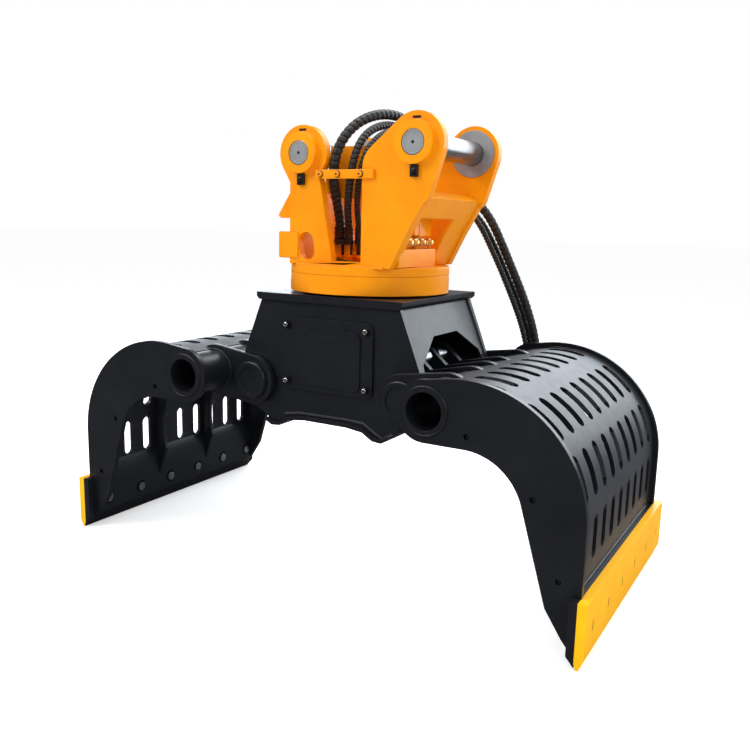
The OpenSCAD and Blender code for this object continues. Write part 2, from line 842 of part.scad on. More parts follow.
module slew_pinion() {
    color(steel) {
        translate([pinion_x, 0, top_z + cut]) linear_extrude(gear_top_z - top_z - cut)
            polygon(teeth_outline(pinion_teeth, pinion_pitch_r - tooth_ded,
                pinion_pitch_r + tooth_add, tooth_half + tooth_ded * tooth_slope,
                tooth_half - tooth_add * tooth_slope, 0));
        translate([pinion_x, 0, gear_top_z - lap])
            cylinder(r = pinion_shaft_r, h = flange_z1 - gear_top_z);
    }
}

module swivel_core() {
    color(steel) {
        translate([0, 0, swivel_z0]) cylinder(r = swivel_core_r, h = swivel_core_z1 - swivel_z0);
        translate([0, 0, top_z - top_t - belly_t]) cylinder(r = top_hole_r + belly_t, h = belly_t);
    }
}

module slew_outer_ring() {
    color(orange) difference() {
        translate([0, 0, ring_z0]) cylinder(r = ring_r, h = ring_h);
        translate([0, 0, ring_z0 - cut]) cylinder(r = race_r, h = ring_h + 2 * cut);
    }
}

module base_flange() {
    color(orange) difference() {
        translate([0, 0, ring_z1]) cylinder(r = ring_r, h = flange_t);
        translate([0, 0, ring_z1 - cut]) cylinder(r = swivel_bore_r, h = flange_t + 2 * cut);
        translate([pinion_x, 0, ring_z1 - cut])
            cylinder(r = pinion_shaft_r + fit, h = flange_t + 2 * cut);
    }
}

// Bracket cheeks in the XZ plane
stick_c = [stick_x, stick_z];
link_c = [link_x, link_z];

module cheek_2d() {
    z0 = flange_z1;
    difference() {
        union() {
            link(stick_c, ear_r, [cheek_left_x + neck_r, neck_z], neck_r);
            link(stick_c, ear_r, [flank_x, flank_z], flank_r);
            polygon([[cheek_left_x, z0], [cheek_left_x, neck_z], stick_c, [flank_x, flank_z],
                [flank_x + flank_r, flank_z], [notch_left_x, bar_z0], [notch_low_left_x, z0]]);
            link([notch_low_right_x + shoulder_r, stick_z - neck_r], shoulder_r, link_c, link_ear_r);
            polygon([[notch_low_right_x, z0], [notch_low_right_x, stick_z - neck_r],
                [notch_low_right_x + shoulder_r, stick_z], link_c, [slant_high_x, slant_high_z],
                [slant_mid_x, slant_mid_z], [slant_low_x, z0]]);
            link(link_c, link_ear_r, [slant_high_x - neck_r, slant_high_z], neck_r);
            translate([notch_low_left_x - lap, z0])
                square([notch_low_right_x - notch_low_left_x + 2 * lap, notch_z - z0]);
        }
        disc(stick_c, pin_ext_r + fit);
        disc(link_c, pin_ext_r + fit);
        translate([oval_x, oval_z]) rotate(oval_tilt) stadium(2 * oval_r, oval_h);
    }
}

module cheek() {
    color(orange) difference() {
        union() {
            slab(-cheek_y, -cheek_in_y) cheek_2d();
            for (c = [stick_c, link_c]) rod_y(c[0], c[1], boss_r, -boss_y, lap - cheek_y);
        }
        for (c = [stick_c, link_c]) rod_y(c[0], c[1], pin_ext_r + fit, -boss_y - cut, cut - cheek_y);
        for (c = [stick_c, link_c])
            translate([c[0] - ear_slot_w / 2, -cheek_y - cut, c[1] + ear_slot_rise])
                cube([ear_slot_w, ear_slot_t + cut, ear_slot_h]);
    }
}

module front_cheek() cheek();
module rear_cheek() mirror([0, 1, 0]) cheek();

module cross_box() {
    slope_x = slant_mid_x - slant_low_x;
    color(orange) difference() {
        slab(-cheek_in_y, cheek_in_y) polygon([
            [slant_low_x - rim / 2, flange_z1], [slant_mid_x - rim / 2, slant_mid_z],
            [slant_high_x - rim, slant_high_z - rim], [slant_high_x - slope_x, box_top_z],
            [slant_high_x - 2 * slope_x, box_top_z],
            [slant_high_x - 2 * slope_x, box_top_z - box_t],
            [slant_high_x - slope_x - box_step, box_top_z - box_t],
            [slant_high_x - rim - box_t, slant_high_z - rim - box_t],
            [slant_mid_x - rim / 2 - box_t, slant_mid_z + box_t / 2],
            [slant_low_x - rim / 2 - box_t, flange_z1]]);
        translate([slant_low_x - ear_r, -box_front_y, flange_z1 - cut])
            cube([2 * ear_r, box_front_y + box_rear_y, box_low_z - flange_z1 + cut]);
    }
}

module left_web() {
    color(orange) {
        slab(-cheek_in_y, cheek_in_y)
            translate([cheek_left_x, flange_z1]) square([web_t, web_high_z - flange_z1]);
        both_sides(cheek_in_y - rim, cheek_in_y) polygon([[cheek_left_x + lap, web_high_z],
            [lug_x, lug_z], [lug_x + rim / 2, lug_z - rim / 2], [cheek_left_x - rim, lug_z - rim / 2],
            [cheek_left_x + lap, guard_z1 + cut]]);
    }
}

module left_guard() {
    color(orange) difference() {
        translate([guard_x0, -cheek_y, guard_z0])
            cube([cheek_left_x - guard_x0, guard_y1 + cheek_y, guard_z1 - guard_z0]);
        translate([guard_x0 + guard_t, -cheek_y + guard_t, guard_z0 - cut])
            cube([cheek_left_x - guard_x0, guard_y1 + cheek_y - 2 * guard_t,
                guard_z1 - guard_z0 - guard_t + cut]);
    }
}

module stick_pin() {
    color(steel) rod_y(stick_x, stick_z, pin_ext_r, -boss_y + cut, boss_y - cut);
}

module link_pin() {
    color(steel) rod_y(link_x, link_z, pin_ext_r, -boss_y + cut, boss_y - cut);
}

module thrust_washers() {
    color(steel) for (s = [0, 1], c = [stick_c, link_c]) mirror([0, s, 0]) difference() {
        rod_y(c[0], c[1], washer_r, -cheek_in_y, washer_t - cheek_in_y);
        rod_y(c[0], c[1], pin_ext_r + fit, -cheek_in_y - cut, washer_t + cut - cheek_in_y);
    }
}

module pin_locks() {
    color(black) for (s = [0, 1], c = [stick_c, link_c]) mirror([0, s, 0])
        translate([c[0], -cheek_y, c[1] - lock_drop - lock_h]) {
            translate([-lock_w / 2, -lock_t, 0]) cube([lock_w, lock_t, lock_h - cut]);
            translate([0, lap - lock_t, lock_h * 0.4]) rotate([90, 0, 0])
                cylinder(r = lock_bolt_r, h = lock_t / 2, $fn = 6);
        }
}

module hose_clamp_bar() {
    z = (bar_z0 + bar_z1) / 2;
    color(orange) slab(-cheek_y - bar_t, -cheek_y) polygon([[bar_x0, bar_z0], [bar_x1, bar_z0],
        [bar_x1, bar_z1], [bar_x0, bar_z1]]);
    color(zinc) for (x = bar_bolts)
        rod_y(x, z, bar_bolt_r, -cheek_y - bar_t - bar_bolt_h, lap - cheek_y - bar_t);
}

// Slewing drive
module slew_motor() {
    z1 = flange_z1 + motor_base_h;
    z2 = z1 + motor_body_h;
    color(orange) translate([pinion_x, 0, 0]) {
        difference() {
            translate([0, 0, flange_z1]) linear_extrude(motor_base_h)
                rounded_box2(motor_base_w, motor_base_w, motor_corner_r);
            translate([0, 0, flange_z1 - cut]) cylinder(r = pinion_shaft_r + fit, h = cut + lap);
        }
        translate([0, 0, z1 - lap]) cylinder(r = motor_body_r, h = motor_body_h + cut);
        translate([motor_body_r / 3, 0, z2]) linear_extrude(motor_block_h)
            rounded_box2(motor_block_x, motor_block_y, motor_corner_r / 2);
    }
    color(zinc) for (sx = [-1, 1], sy = [-1, 1])
        translate([pinion_x + sx * (motor_base_w / 2 - motor_bolt_in),
            sy * (motor_base_w / 2 - motor_bolt_in), z1 - lap])
            cylinder(r = motor_bolt_r, h = motor_bolt_h + lap, $fn = 6);
}

module motor_fittings() {
    z = flange_z1 + motor_base_h + motor_body_h / 2;
    color(bronze) for (a = [-70, -35, 0, 35])
        translate([pinion_x, 0, z]) rotate([0, 0, a]) {
            translate([motor_body_r, 0, 0]) rotate([0, 90, 0])
                cylinder(r = motor_fit_r, h = motor_fit_len / 2, $fn = 6);
            translate([motor_body_r + motor_fit_len / 2 - lap, 0, 0]) rotate([0, 90, 0])
                cylinder(r = motor_fit_r * 0.7, h = motor_fit_len / 2);
        }
}

module swivel_head() {
    color(black) difference() {
        translate([0, 0, flange_z1]) cylinder(r = swivel_r, h = swivel_head_z1 - flange_z1);
        translate([0, 0, flange_z1 - cut])
            cylinder(r = swivel_core_r + fit, h = swivel_core_z1 - flange_z1 + cut + lap);
    }
}

hose_starts = [[hose_large_route, hose_large_d], [hose_middle_route, hose_middle_d],
    [hose_small_route, hose_small_d]];

module hose_fittings() {
    elbow_z = (flange_z1 + swivel_head_z1) / 2;
    color(steel) difference() {
        for (h = hose_starts) {
            p = h[0][0];
            translate([p[0], p[1], elbow_z]) {
                cylinder(d = h[1] * fitting_share, h = p[2] - elbow_z);
                sphere(d = h[1] * fitting_share);
                rotate([0, 0, atan2(p[1], p[0])]) translate([-norm([p[0], p[1]]), 0, 0])
                    rotate([0, 90, 0]) cylinder(d = h[1] * fitting_pipe_share, h = norm([p[0], p[1]]));
            }
        }
        translate([0, 0, flange_z1]) cylinder(r = swivel_r + fit, h = swivel_head_z1 - flange_z1);
    }
}

module hose_couplings() {
    color(zinc) for (h = hose_starts) {
        p = h[0][len(h[0]) - 1];
        translate([p[0], p[1], p[2] - coupling_h]) difference() {
            union() {
                cylinder(d = h[1] * 1.3, h = coupling_h * 0.45 + lap, $fn = 6);
                translate([0, 0, coupling_h * 0.45]) cylinder(d = h[1] * 1.12, h = coupling_h * 0.55);
            }
            translate([0, 0, -cut]) cylinder(d = h[1] * 0.8, h = coupling_h * 0.4);
        }
    }
}

// A tube swept along a route, with its rings turned as little as possible
function unit(v) = v / norm(v);
function tangent(p, i) = i == 0 ? unit(p[1] - p[0])
    : i == len(p) - 1 ? unit(p[i] - p[i - 1]) : unit(p[i + 1] - p[i - 1]);
function sides(p, i, prev) = i == len(p) ? []
    : let (t = tangent(p, i), u = unit(prev - t * (prev * t))) concat([u], sides(p, i + 1, u));

module hose(route, d) {
    n = len(route);
    s = sides(route, 0, [1, 0, 0]);
    pts = [for (i = [0 : n - 1]) let (t = tangent(route, i), u = s[i], w = cross(t, u))
        for (k = [0 : hose_sides - 1]) let (a = 360 * k / hose_sides)
            route[i] + d / 2 * (u * cos(a) + w * sin(a))];
    faces = concat([[for (k = [0 : hose_sides - 1]) k]],
        [[for (k = [hose_sides - 1 : -1 : 0]) (n - 1) * hose_sides + k]],
        [for (i = [0 : n - 2]) for (k = [0 : hose_sides - 1])
            let (a = i * hose_sides + k, b = i * hose_sides + (k + 1) % hose_sides)
                [a, a + hose_sides, b + hose_sides, b]]);
    color(rubber) polyhedron(pts, faces, convexity = 8);
}

module hose_large() hose(hose_large_route, hose_large_d);
module hose_middle() hose(hose_middle_route, hose_middle_d);
module hose_small() hose(hose_small_route, hose_small_d);

top_plate();
front_plate();
rear_plate();
end_plates();
belly_plate();
pivot_bushes();
front_cover();
rear_cover();
housing_bolts();
slew_ring_gear();
swivel_core();
slew_outer_ring();
base_flange();
front_cheek();
rear_cheek();
cross_box();
left_web();
left_guard();
stick_pin();
link_pin();
thrust_washers();
pin_locks();
hose_clamp_bar();
swivel_head();
hose_fittings();
slew_motor();
motor_fittings();
slew_pinion();
hose_large();
hose_middle();
hose_small();
hose_couplings();
side_plates();  // right_side_plates
mirror([1, 0, 0]) side_plates();  // left_side_plates
shell();  // right_shell
mirror([1, 0, 0]) shell();  // left_shell
ribs();  // right_ribs
mirror([1, 0, 0]) ribs();  // left_ribs
torque_tube();  // right_torque_tube
mirror([1, 0, 0]) torque_tube();  // left_torque_tube
blade_holder();  // right_blade_holder
mirror([1, 0, 0]) blade_holder();  // left_blade_holder
blade();  // right_blade
mirror([1, 0, 0]) blade();  // left_blade
blade_bolts();  // right_blade_bolts
mirror([1, 0, 0]) blade_bolts();  // left_blade_bolts
outer_arms();  // right_outer_arms
mirror([1, 0, 0]) outer_arms();  // left_outer_arms
cranks();  // right_cranks
mirror([1, 0, 0]) cranks();  // left_cranks
hub_caps();  // right_hub_caps
mirror([1, 0, 0]) hub_caps();  // left_hub_caps
pivot_pin();  // right_pivot_pin
mirror([1, 0, 0]) pivot_pin();  // left_pivot_pin
lever_pin();  // right_lever_pin
mirror([1, 0, 0]) lever_pin();  // left_lever_pin
cylinder_barrel(-cylinder_pitch / 2);  // front_cylinder_barrel
cylinder_barrel(cylinder_pitch / 2);  // rear_cylinder_barrel
cylinder_rod(-cylinder_pitch / 2);  // front_cylinder_rod
cylinder_rod(cylinder_pitch / 2);  // rear_cylinder_rod
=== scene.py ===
# %% [markdown]
# A sorting grapple in Blender, step by step
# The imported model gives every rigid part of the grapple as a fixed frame. This lesson adds what
# a modeller sees on the real machine: rounded plate edges, weld beads, bolts, spiral guards round
# the hoses, and the paints and metals. Shapes are worked out with numpy, because one formula over
# a whole grid of points is short, exact and the same each time it runs.

# %% Load the frame
import json
import math

import bpy
import numpy as np
from mathutils import Matrix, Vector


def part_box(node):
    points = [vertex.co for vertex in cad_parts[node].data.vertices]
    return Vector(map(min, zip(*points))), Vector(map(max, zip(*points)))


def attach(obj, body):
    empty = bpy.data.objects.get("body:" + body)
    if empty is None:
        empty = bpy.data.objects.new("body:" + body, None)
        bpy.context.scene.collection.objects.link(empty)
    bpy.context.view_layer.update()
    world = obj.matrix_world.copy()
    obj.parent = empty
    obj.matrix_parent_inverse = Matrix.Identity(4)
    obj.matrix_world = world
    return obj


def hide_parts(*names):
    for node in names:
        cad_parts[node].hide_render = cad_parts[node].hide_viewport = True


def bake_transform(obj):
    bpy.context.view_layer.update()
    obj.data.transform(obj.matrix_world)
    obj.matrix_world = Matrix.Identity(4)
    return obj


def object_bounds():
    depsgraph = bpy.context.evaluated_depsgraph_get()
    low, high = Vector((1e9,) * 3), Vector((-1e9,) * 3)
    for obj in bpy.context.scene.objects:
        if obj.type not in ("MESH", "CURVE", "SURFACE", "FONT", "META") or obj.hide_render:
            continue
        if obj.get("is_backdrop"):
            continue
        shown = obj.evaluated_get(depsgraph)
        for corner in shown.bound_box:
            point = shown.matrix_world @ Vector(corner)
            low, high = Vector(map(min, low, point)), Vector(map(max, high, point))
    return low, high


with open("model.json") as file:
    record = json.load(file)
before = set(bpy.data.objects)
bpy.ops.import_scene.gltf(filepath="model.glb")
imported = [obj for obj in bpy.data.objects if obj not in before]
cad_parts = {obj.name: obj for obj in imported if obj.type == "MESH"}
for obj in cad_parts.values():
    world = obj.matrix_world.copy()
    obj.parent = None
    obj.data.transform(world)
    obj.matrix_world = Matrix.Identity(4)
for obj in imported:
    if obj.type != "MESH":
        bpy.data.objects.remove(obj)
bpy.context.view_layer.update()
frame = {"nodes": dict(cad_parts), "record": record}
for packed in list(bpy.data.materials):
    bpy.data.materials.remove(packed)

# %% Reading places from the frame
LOW, HIGH = 0, 1
X, Y, Z = 0, 1, 2
SIDES = {"right": 1, "left": -1}
FRONT_AND_REAR = (-1, 1)


def side_of(node, end, axis):
    """One side of a CAD node's box at rest, in metres, to a tenth of a millimetre."""
    return round(float(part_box(node)[end][axis]), 4)


MOUNTS = {mount["name"]: mount["pos_m"] for mount in frame["record"]["mounts"]}
PINS = [(MOUNTS[pin][X], MOUNTS[pin][Z]) for pin in ("stick_pin", "link_pin")]
print("attachment pins at x, z", PINS)

# %% [markdown]
# The camera
# The photograph was taken from the front and a little to the right, from above the top plate.
# The camera could be placed by eye. It was fitted instead to the straight edges and pin centres,
# so its direction comes from three angles: its turn round the grapple, its pitch and its roll.

# %% The camera
PLACE = np.array([1.4941, -2.5451, 1.1903])
TURN, PITCH, ROLL = np.radians([29.9, 10.64, 1.38])
LENS_MM, SENSOR_MM = 39.06, 36.0
CLIP_END = 200


def camera_axes(turn, pitch, roll):
    """Right, up and back of a camera: it looks along the ground at the angle turn, leans down by
    pitch, and then rolls about its own line of sight."""
    ahead = np.array([-math.sin(turn) * math.cos(pitch), math.cos(turn) * math.cos(pitch),
                      -math.sin(pitch)])
    right = np.array([math.cos(turn), math.sin(turn), 0.0])
    up = np.cross(right, ahead)
    return (math.cos(roll) * right + math.sin(roll) * up,
            math.cos(roll) * up - math.sin(roll) * right, -ahead)


def new_object(name, data):
    """An object in the scene for a mesh, a camera or a lamp."""
    made = bpy.data.objects.new(name, data)
    bpy.context.scene.collection.objects.link(made)
    return made


def put_at(thing, place, axes):
    """Places an object by its origin and the directions of its own three axes."""
    pose = np.eye(4)
    pose[:3, :3] = np.stack(axes, axis=1)
    pose[:3, 3] = place
    thing.matrix_world = Matrix(pose.tolist())


camera = new_object("camera", bpy.data.cameras.new("camera"))
camera.data.lens = LENS_MM
camera.data.sensor_width = camera.data.sensor_height = SENSOR_MM
camera.data.clip_end = CLIP_END
put_at(camera, PLACE, camera_axes(TURN, PITCH, ROLL))
bpy.context.scene.camera = camera
print("camera at", PLACE, "lens", LENS_MM, "mm")

# %% [markdown]
# Surfaces from grids
# Nearly every new piece here is a grid: rows along the piece, columns round it. Vertices could be
# added one by one in a loop, but numpy can work them all out at once, and one call then hands the
# whole array to the mesh. A row or a column may close on itself, as round a tube.


# %% Meshes from grids
def grid_faces(rows, cols, wrap_rows=False, wrap_cols=False):
    """The quads of a grid of rows by cols points: each joins a point, its neighbour in the row,
    and the two points after them in the next row."""
    i, j = np.meshgrid(np.arange(rows - (not wrap_rows)), np.arange(cols - (not wrap_cols)),
                       indexing="ij")
    i2, j2 = (i + 1) % rows, (j + 1) % cols
    quads = np.stack([i * cols + j, i * cols + j2, i2 * cols + j2, i2 * cols + j], axis=-1)
    return quads.reshape(-1, 4)


def new_piece(name, points, faces, material, body, smooth=True):
    """A mesh object from points and faces, riding on a body if one is named."""
    mesh = bpy.data.meshes.new(name)
    mesh.from_pydata(np.asarray(points, float).tolist(), [], [list(map(int, f)) for f in faces])
    mesh.update()
    if smooth:
        mesh.polygons.foreach_set("use_smooth", np.ones(len(mesh.polygons), bool))
    mesh.materials.append(material)
    piece = new_object(name, mesh)
    if body:
        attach(piece, body)
    return piece


class Parts:
    """Collects separate shapes that make one piece."""

    def __init__(self):
        self.points, self.faces, self.count = [], [], 0

    def add(self, points, faces):
        points = np.asarray(points, float).reshape(-1, 3)
        self.points.append(points)
        self.faces += [[int(k) + self.count for k in f] for f in faces]
        self.count += len(points)

    def piece(self, name, material, body, smooth=True, rounding=0):
        points = np.concatenate(self.points)
        made = new_piece(name, points, self.faces, material, body, smooth)
        if rounding:
            round_off(made, rounding)
        print(name, len(points), "points on", body)


# %% Lines and tubes
def unit(v):
    """Vectors of length one: each divided by its own length."""
    v = np.asarray(v, float)
    return v / np.linalg.norm(v, axis=-1, keepdims=True)


def run_along(line):
    """The distance run along a line at each of its points: the sum of the steps before it."""
    return np.concatenate([[0], np.cumsum(np.linalg.norm(np.diff(line, axis=0), axis=1))])


def sides_along(line, hint, closed=False):
    """Two side directions at each point of a line. They come from one hint direction that the
    line never runs along: side = hint x tangent, second = tangent x side."""
    if closed:
        ahead = np.roll(line, -1, axis=0) - np.roll(line, 1, axis=0)
    else:
        ahead = np.gradient(line, axis=0)
    tangent = unit(ahead)
    side = unit(np.cross(np.broadcast_to(hint, tangent.shape), tangent))
    return side, np.cross(tangent, side)


def tube_grid(line, radii, hint=(1, 0, 0), closed=False):
    """Points round a line: line + r (side cos a + second sin a), a running round the circle.
    radii is a grid with one radius for each point."""
    side, second = sides_along(line, hint, closed)
    a = np.linspace(0, 2 * np.pi, radii.shape[1], endpoint=False)
    ring = side[:, None] * np.cos(a)[None, :, None] + second[:, None] * np.sin(a)[None, :, None]
    return line[:, None] + ring * radii[..., None]


def capped(grid):
    """Points and faces of a tube that is closed by a fan at both ends."""
    rows, cols = grid.shape[:2]
    points = np.concatenate([grid.reshape(-1, 3), [grid[0].mean(axis=0)],
                             [grid[-1].mean(axis=0)]])
    faces = grid_faces(rows, cols, wrap_cols=True).tolist()
    j = np.arange(cols)
    k = (j + 1) % cols
    start, end = rows * cols, rows * cols + 1
    faces += np.stack([k, j, np.full(cols, start)], axis=1).tolist()
    last = (rows - 1) * cols
    faces += np.stack([last + j, last + k, np.full(cols, end)], axis=1).tolist()
    return points, faces


# %% [markdown]
# The three hoses
# The grapple's hydraulic hoses leave the swivel, climb through the front notch and go over the
# bracket. A Blender curve would do for a plain hose. These wear a spiral guard, a strip wound
# round the hose with a narrow gap, so each is a grid whose radius follows that winding. Each
# centreline is a natural cubic spline through the points of the route, which bends evenly.


# %% Hose routes
def spline(points, step):
    """A natural cubic spline through points: the second derivatives m solve a tridiagonal
    system, and between two points the curve is the cubic that has them at its ends."""
    p = np.asarray(points, float)
    u = run_along(p)
    h = np.diff(u)[:, None]
    n = len(p)
    system = np.eye(n)
    k = np.arange(1, n - 1)
    system[k, k - 1], system[k, k + 1] = h[:-1, 0], h[1:, 0]
    system[k, k] = 2 * (h[:-1, 0] + h[1:, 0])
    right = np.zeros((n, 3))
    right[1:-1] = 6 * (np.diff(p, axis=0)[1:] / h[1:] - np.diff(p, axis=0)[:-1] / h[:-1])
    m = np.linalg.solve(system, right)
    at = np.linspace(0, u[-1], int(u[-1] / step) + 1)
    i = np.clip(np.searchsorted(u, at, side="right") - 1, 0, n - 2)
    a, b, w = (u[i + 1] - at)[:, None], (at - u[i])[:, None], h[i]
    return ((m[i] * a ** 3 + m[i + 1] * b ** 3) / (6 * w) + (p[i] / w - m[i] * w / 6) * a
            + (p[i + 1] / w - m[i + 1] * w / 6) * b)


LARGE_ROUTE = [
    (-.054, -.120, 1.130), (-.054, -.120, 1.174), (-.051, -.136, 1.222), (-.045, -.162, 1.270),
    (-.036, -.190, 1.316), (-.026, -.207, 1.362), (-.014, -.210, 1.412), (.004, -.197, 1.460),
    (.028, -.164, 1.504), (.054, -.108, 1.536), (.076, -.040, 1.550), (.092, .036, 1.546),
    (.100, .108, 1.522), (.099, .172, 1.482), (.098, .222, 1.440), (.100, .258, 1.402),
    (.114, .290, 1.368), (.146, .320, 1.338), (.192, .343, 1.312), (.244, .362, 1.276),
    (.290, .384, 1.220), (.328, .412, 1.138), (.364, .446, 1.040), (.402, .478, .936),
    (.436, .506, .826), (.456, .532, .712), (.464, .546, .570), (.466, .552, .420),
    (.466, .552, .270)]
MIDDLE_ROUTE = [
    (-.015, -.126, 1.130), (-.015, -.126, 1.172), (-.008, -.144, 1.218), (.008, -.170, 1.266),
    (.028, -.195, 1.314), (.044, -.208, 1.358), (.054, -.206, 1.402), (.062, -.186, 1.446),
    (.070, -.146, 1.482), (.078, -.092, 1.505), (.084, -.030, 1.515), (.086, .036, 1.511),
    (.082, .098, 1.492), (.074, .152, 1.462), (.064, .204, 1.422), (.058, .256, 1.374),
    (.080, .306, 1.330), (.126, .346, 1.292), (.182, .370, 1.262), (.234, .390, 1.224),
    (.272, .414, 1.166), (.308, .446, 1.082), (.344, .476, .988), (.382, .506, .886),
    (.412, .534, .776), (.430, .560, .652), (.436, .574, .520), (.436, .580, .400),
    (.436, .580, .290)]
SMALL_ROUTE = [
    (.012, -.106, 1.130), (.012, -.106, 1.172), (.020, -.128, 1.218), (.038, -.160, 1.266),
    (.058, -.188, 1.314), (.076, -.203, 1.360), (.088, -.197, 1.404), (.097, -.172, 1.442),
    (.104, -.124, 1.474), (.109, -.066, 1.493), (.111, -.004, 1.499), (.109, .056, 1.490),
    (.102, .114, 1.466), (.093, .168, 1.430), (.085, .220, 1.386), (.088, .264, 1.343),
    (.118, .298, 1.306), (.162, .318, 1.278), (.212, .334, 1.250), (.256, .358, 1.200),
    (.292, .390, 1.122), (.330, .424, 1.026), (.366, .454, .928), (.400, .482, .826),
    (.424, .504, .722), (.436, .520, .600), (.438, .528, .500), (.438, .528, .400),
    (.438, .528, .300)]
HOSES = {"large": (LARGE_ROUTE, 0.034), "middle": (MIDDLE_ROUTE, 0.027),
         "small": (SMALL_ROUTE, 0.021)}
LINE_STEP = 0.002
CENTRELINES = {name: spline(route, LINE_STEP) for name, (route, diameter) in HOSES.items()}
for name, line in CENTRELINES.items():
    print(name, "hose", round(float(run_along(line)[-1]), 3), "m")

# %% [markdown]
# Shader groups
# Paint looks like paint because of small things: a faint orange peel in the gloss, slow changes
# of tone, dust where it can settle, and edges where the coat is thin. Each of these effects is a
# node group with named inputs, built once. A material then places it with its own values, which
# keeps a dozen materials as easy to read as one.


# %% Node helpers
def new_group(name, values, results):
    """An empty shader node group: a vector and these values come in, and the results go out."""
    tree = bpy.data.node_groups.new(name, "ShaderNodeTree")
    tree.interface.new_socket("Vector", in_out="INPUT", socket_type="NodeSocketVector")
    for way, labels in (("INPUT", values), ("OUTPUT", results)):
        for label in labels:
            tree.interface.new_socket(label, in_out=way, socket_type="NodeSocketFloat")
    return (tree, tree.nodes.new("NodeGroupInput").outputs,
            tree.nodes.new("NodeGroupOutput").inputs)


def feed(tree, socket, value):
    """Links a socket to another node's socket, or sets it to a number, a colour or an object."""
    if isinstance(value, bpy.types.NodeSocket):
        tree.links.new(value, socket)
    else:
        socket.default_value = value


def add(tree, kind, settings=None, **inputs):
    """A node with its properties set and its inputs fed by label, or by place: i2 is the third."""
    node = tree.nodes.new(kind)
    for key, value in (settings or {}).items():
        setattr(node, key, value)
    for key, value in inputs.items():
        label = int(key[1:]) if key[1:].isdigit() else key.replace("_", " ")
        feed(tree, node.inputs[label], value)
    return node


def maths(tree, operation, a, b=0.0, clamp=False):
    """One operation on two numbers or sockets, held between 0 and 1 if clamp is set."""
    return add(tree, "ShaderNodeMath", {"operation": operation, "use_clamp": clamp},
               i0=a, i1=b).outputs[0]


def ramp(tree, value, low, high, to_low=0.0, to_high=1.0):
    """value rescaled from low..high to to_low..to_high, and held at the ends."""
    return add(tree, "ShaderNodeMapRange", {"clamp": True}, Value=value, i1=low, i2=high,
               i3=to_low, i4=to_high).outputs["Result"]


def mixed(tree, factor, a, b):
    """Colour a where factor is 0 and b where it is 1."""
    a, b = ((*colour, 1) if isinstance(colour, tuple) else colour for colour in (a, b))
    return add(tree, "ShaderNodeMix", {"data_type": "RGBA"}, i0=factor, i6=a, i7=b).outputs[2]


def noise(tree, vector, scale, detail, rough):
    """Noise from 0 to 1: scale is in waves per metre, detail in octaves."""
    return add(tree, "ShaderNodeTexNoise", Vector=vector, Scale=scale, Detail=detail,
               Roughness=rough).outputs["Fac"]


def split(tree, vector):
    """The sockets X, Y and Z of a vector."""
    return add(tree, "ShaderNodeSeparateXYZ", Vector=vector).outputs


# %% Group: paint skin
SLOW_NOISE, CLOUD_NOISE = (2.3, 3.0, 0.55), (11.0, 4.0, 0.6)
PEEL_NOISE, SMEAR_NOISE = (260.0, 1.0, 0.4), (27.0, 5.0, 0.65)
SLOW_SHARE, CLOUD_SHARE = 0.6, 0.4


def build_paint_skin():
    """Slow tone = two soft noises; peel = one fine noise; gloss = noise kept in a narrow band."""
    tree, source, sink = new_group("paint_skin", ["Peel", "Gloss", "Gloss Spread"],
                                   ["Tone", "Roughness", "Height"])
    place = source["Vector"]
    slow = maths(tree, "MULTIPLY", noise(tree, place, *SLOW_NOISE), SLOW_SHARE)
    cloud = maths(tree, "MULTIPLY", noise(tree, place, *CLOUD_NOISE), CLOUD_SHARE)
    smear = maths(tree, "SUBTRACT", noise(tree, place, *SMEAR_NOISE), 0.5)
    gloss = add(tree, "ShaderNodeMath", {"operation": "MULTIPLY_ADD"}, i0=smear,
                i1=source["Gloss Spread"], i2=source["Gloss"])
    peel = maths(tree, "MULTIPLY", noise(tree, place, *PEEL_NOISE), source["Peel"])
    feed(tree, sink["Tone"], maths(tree, "ADD", slow, cloud))
    feed(tree, sink["Roughness"], gloss.outputs[0])
    feed(tree, sink["Height"], peel)
    return tree


PAINT_SKIN = build_paint_skin()
print("group", PAINT_SKIN.name)

# %% Group: settled dust
PATCH_NOISE, PATCH_EDGE = (16.0, 6.0, 0.7), (0.42, 0.68)
GRAIN_NOISE, GRAIN_EDGE, GRAIN_SHARE = (420.0, 2.0, 0.6), (0.5, 0.7), 0.35
LOOKING_UP = (0.25, 0.95)


def build_dust():
    """Dust = how much the face looks up, times a broken noise, so it lies in patches, plus a
    share of fine grains that lie anywhere."""
    tree, source, sink = new_group("settled_dust", ["Amount"], ["Mask"])
    up = split(tree, add(tree, "ShaderNodeNewGeometry").outputs["Normal"])["Z"]
    patches = ramp(tree, noise(tree, source["Vector"], *PATCH_NOISE), *PATCH_EDGE)
    grains = ramp(tree, noise(tree, source["Vector"], *GRAIN_NOISE), *GRAIN_EDGE)
    lying = maths(tree, "MULTIPLY", ramp(tree, up, *LOOKING_UP), patches)
    specks = maths(tree, "MULTIPLY", grains, GRAIN_SHARE)
    both = maths(tree, "ADD", lying, specks)
    feed(tree, sink["Mask"], maths(tree, "MULTIPLY", both, source["Amount"], clamp=True))
    return tree


DUST = build_dust()
print("group", DUST.name)

# %% Group: handling scratches
SCRATCH_TURNS = ((0.3, 0.9, 0.4), (1.1, 0.2, 2.0))
SCRATCH_SQUEEZES = ((3.0, 130.0, 40.0), (150.0, 4.0, 55.0))
CREST_NOISE, CREST_EDGE = (1.0, 2.0, 0.5), (0.70, 0.76)
REGION_NOISE, REGION_EDGE = (5.0, 2.0, 0.5), (0.5, 0.62)


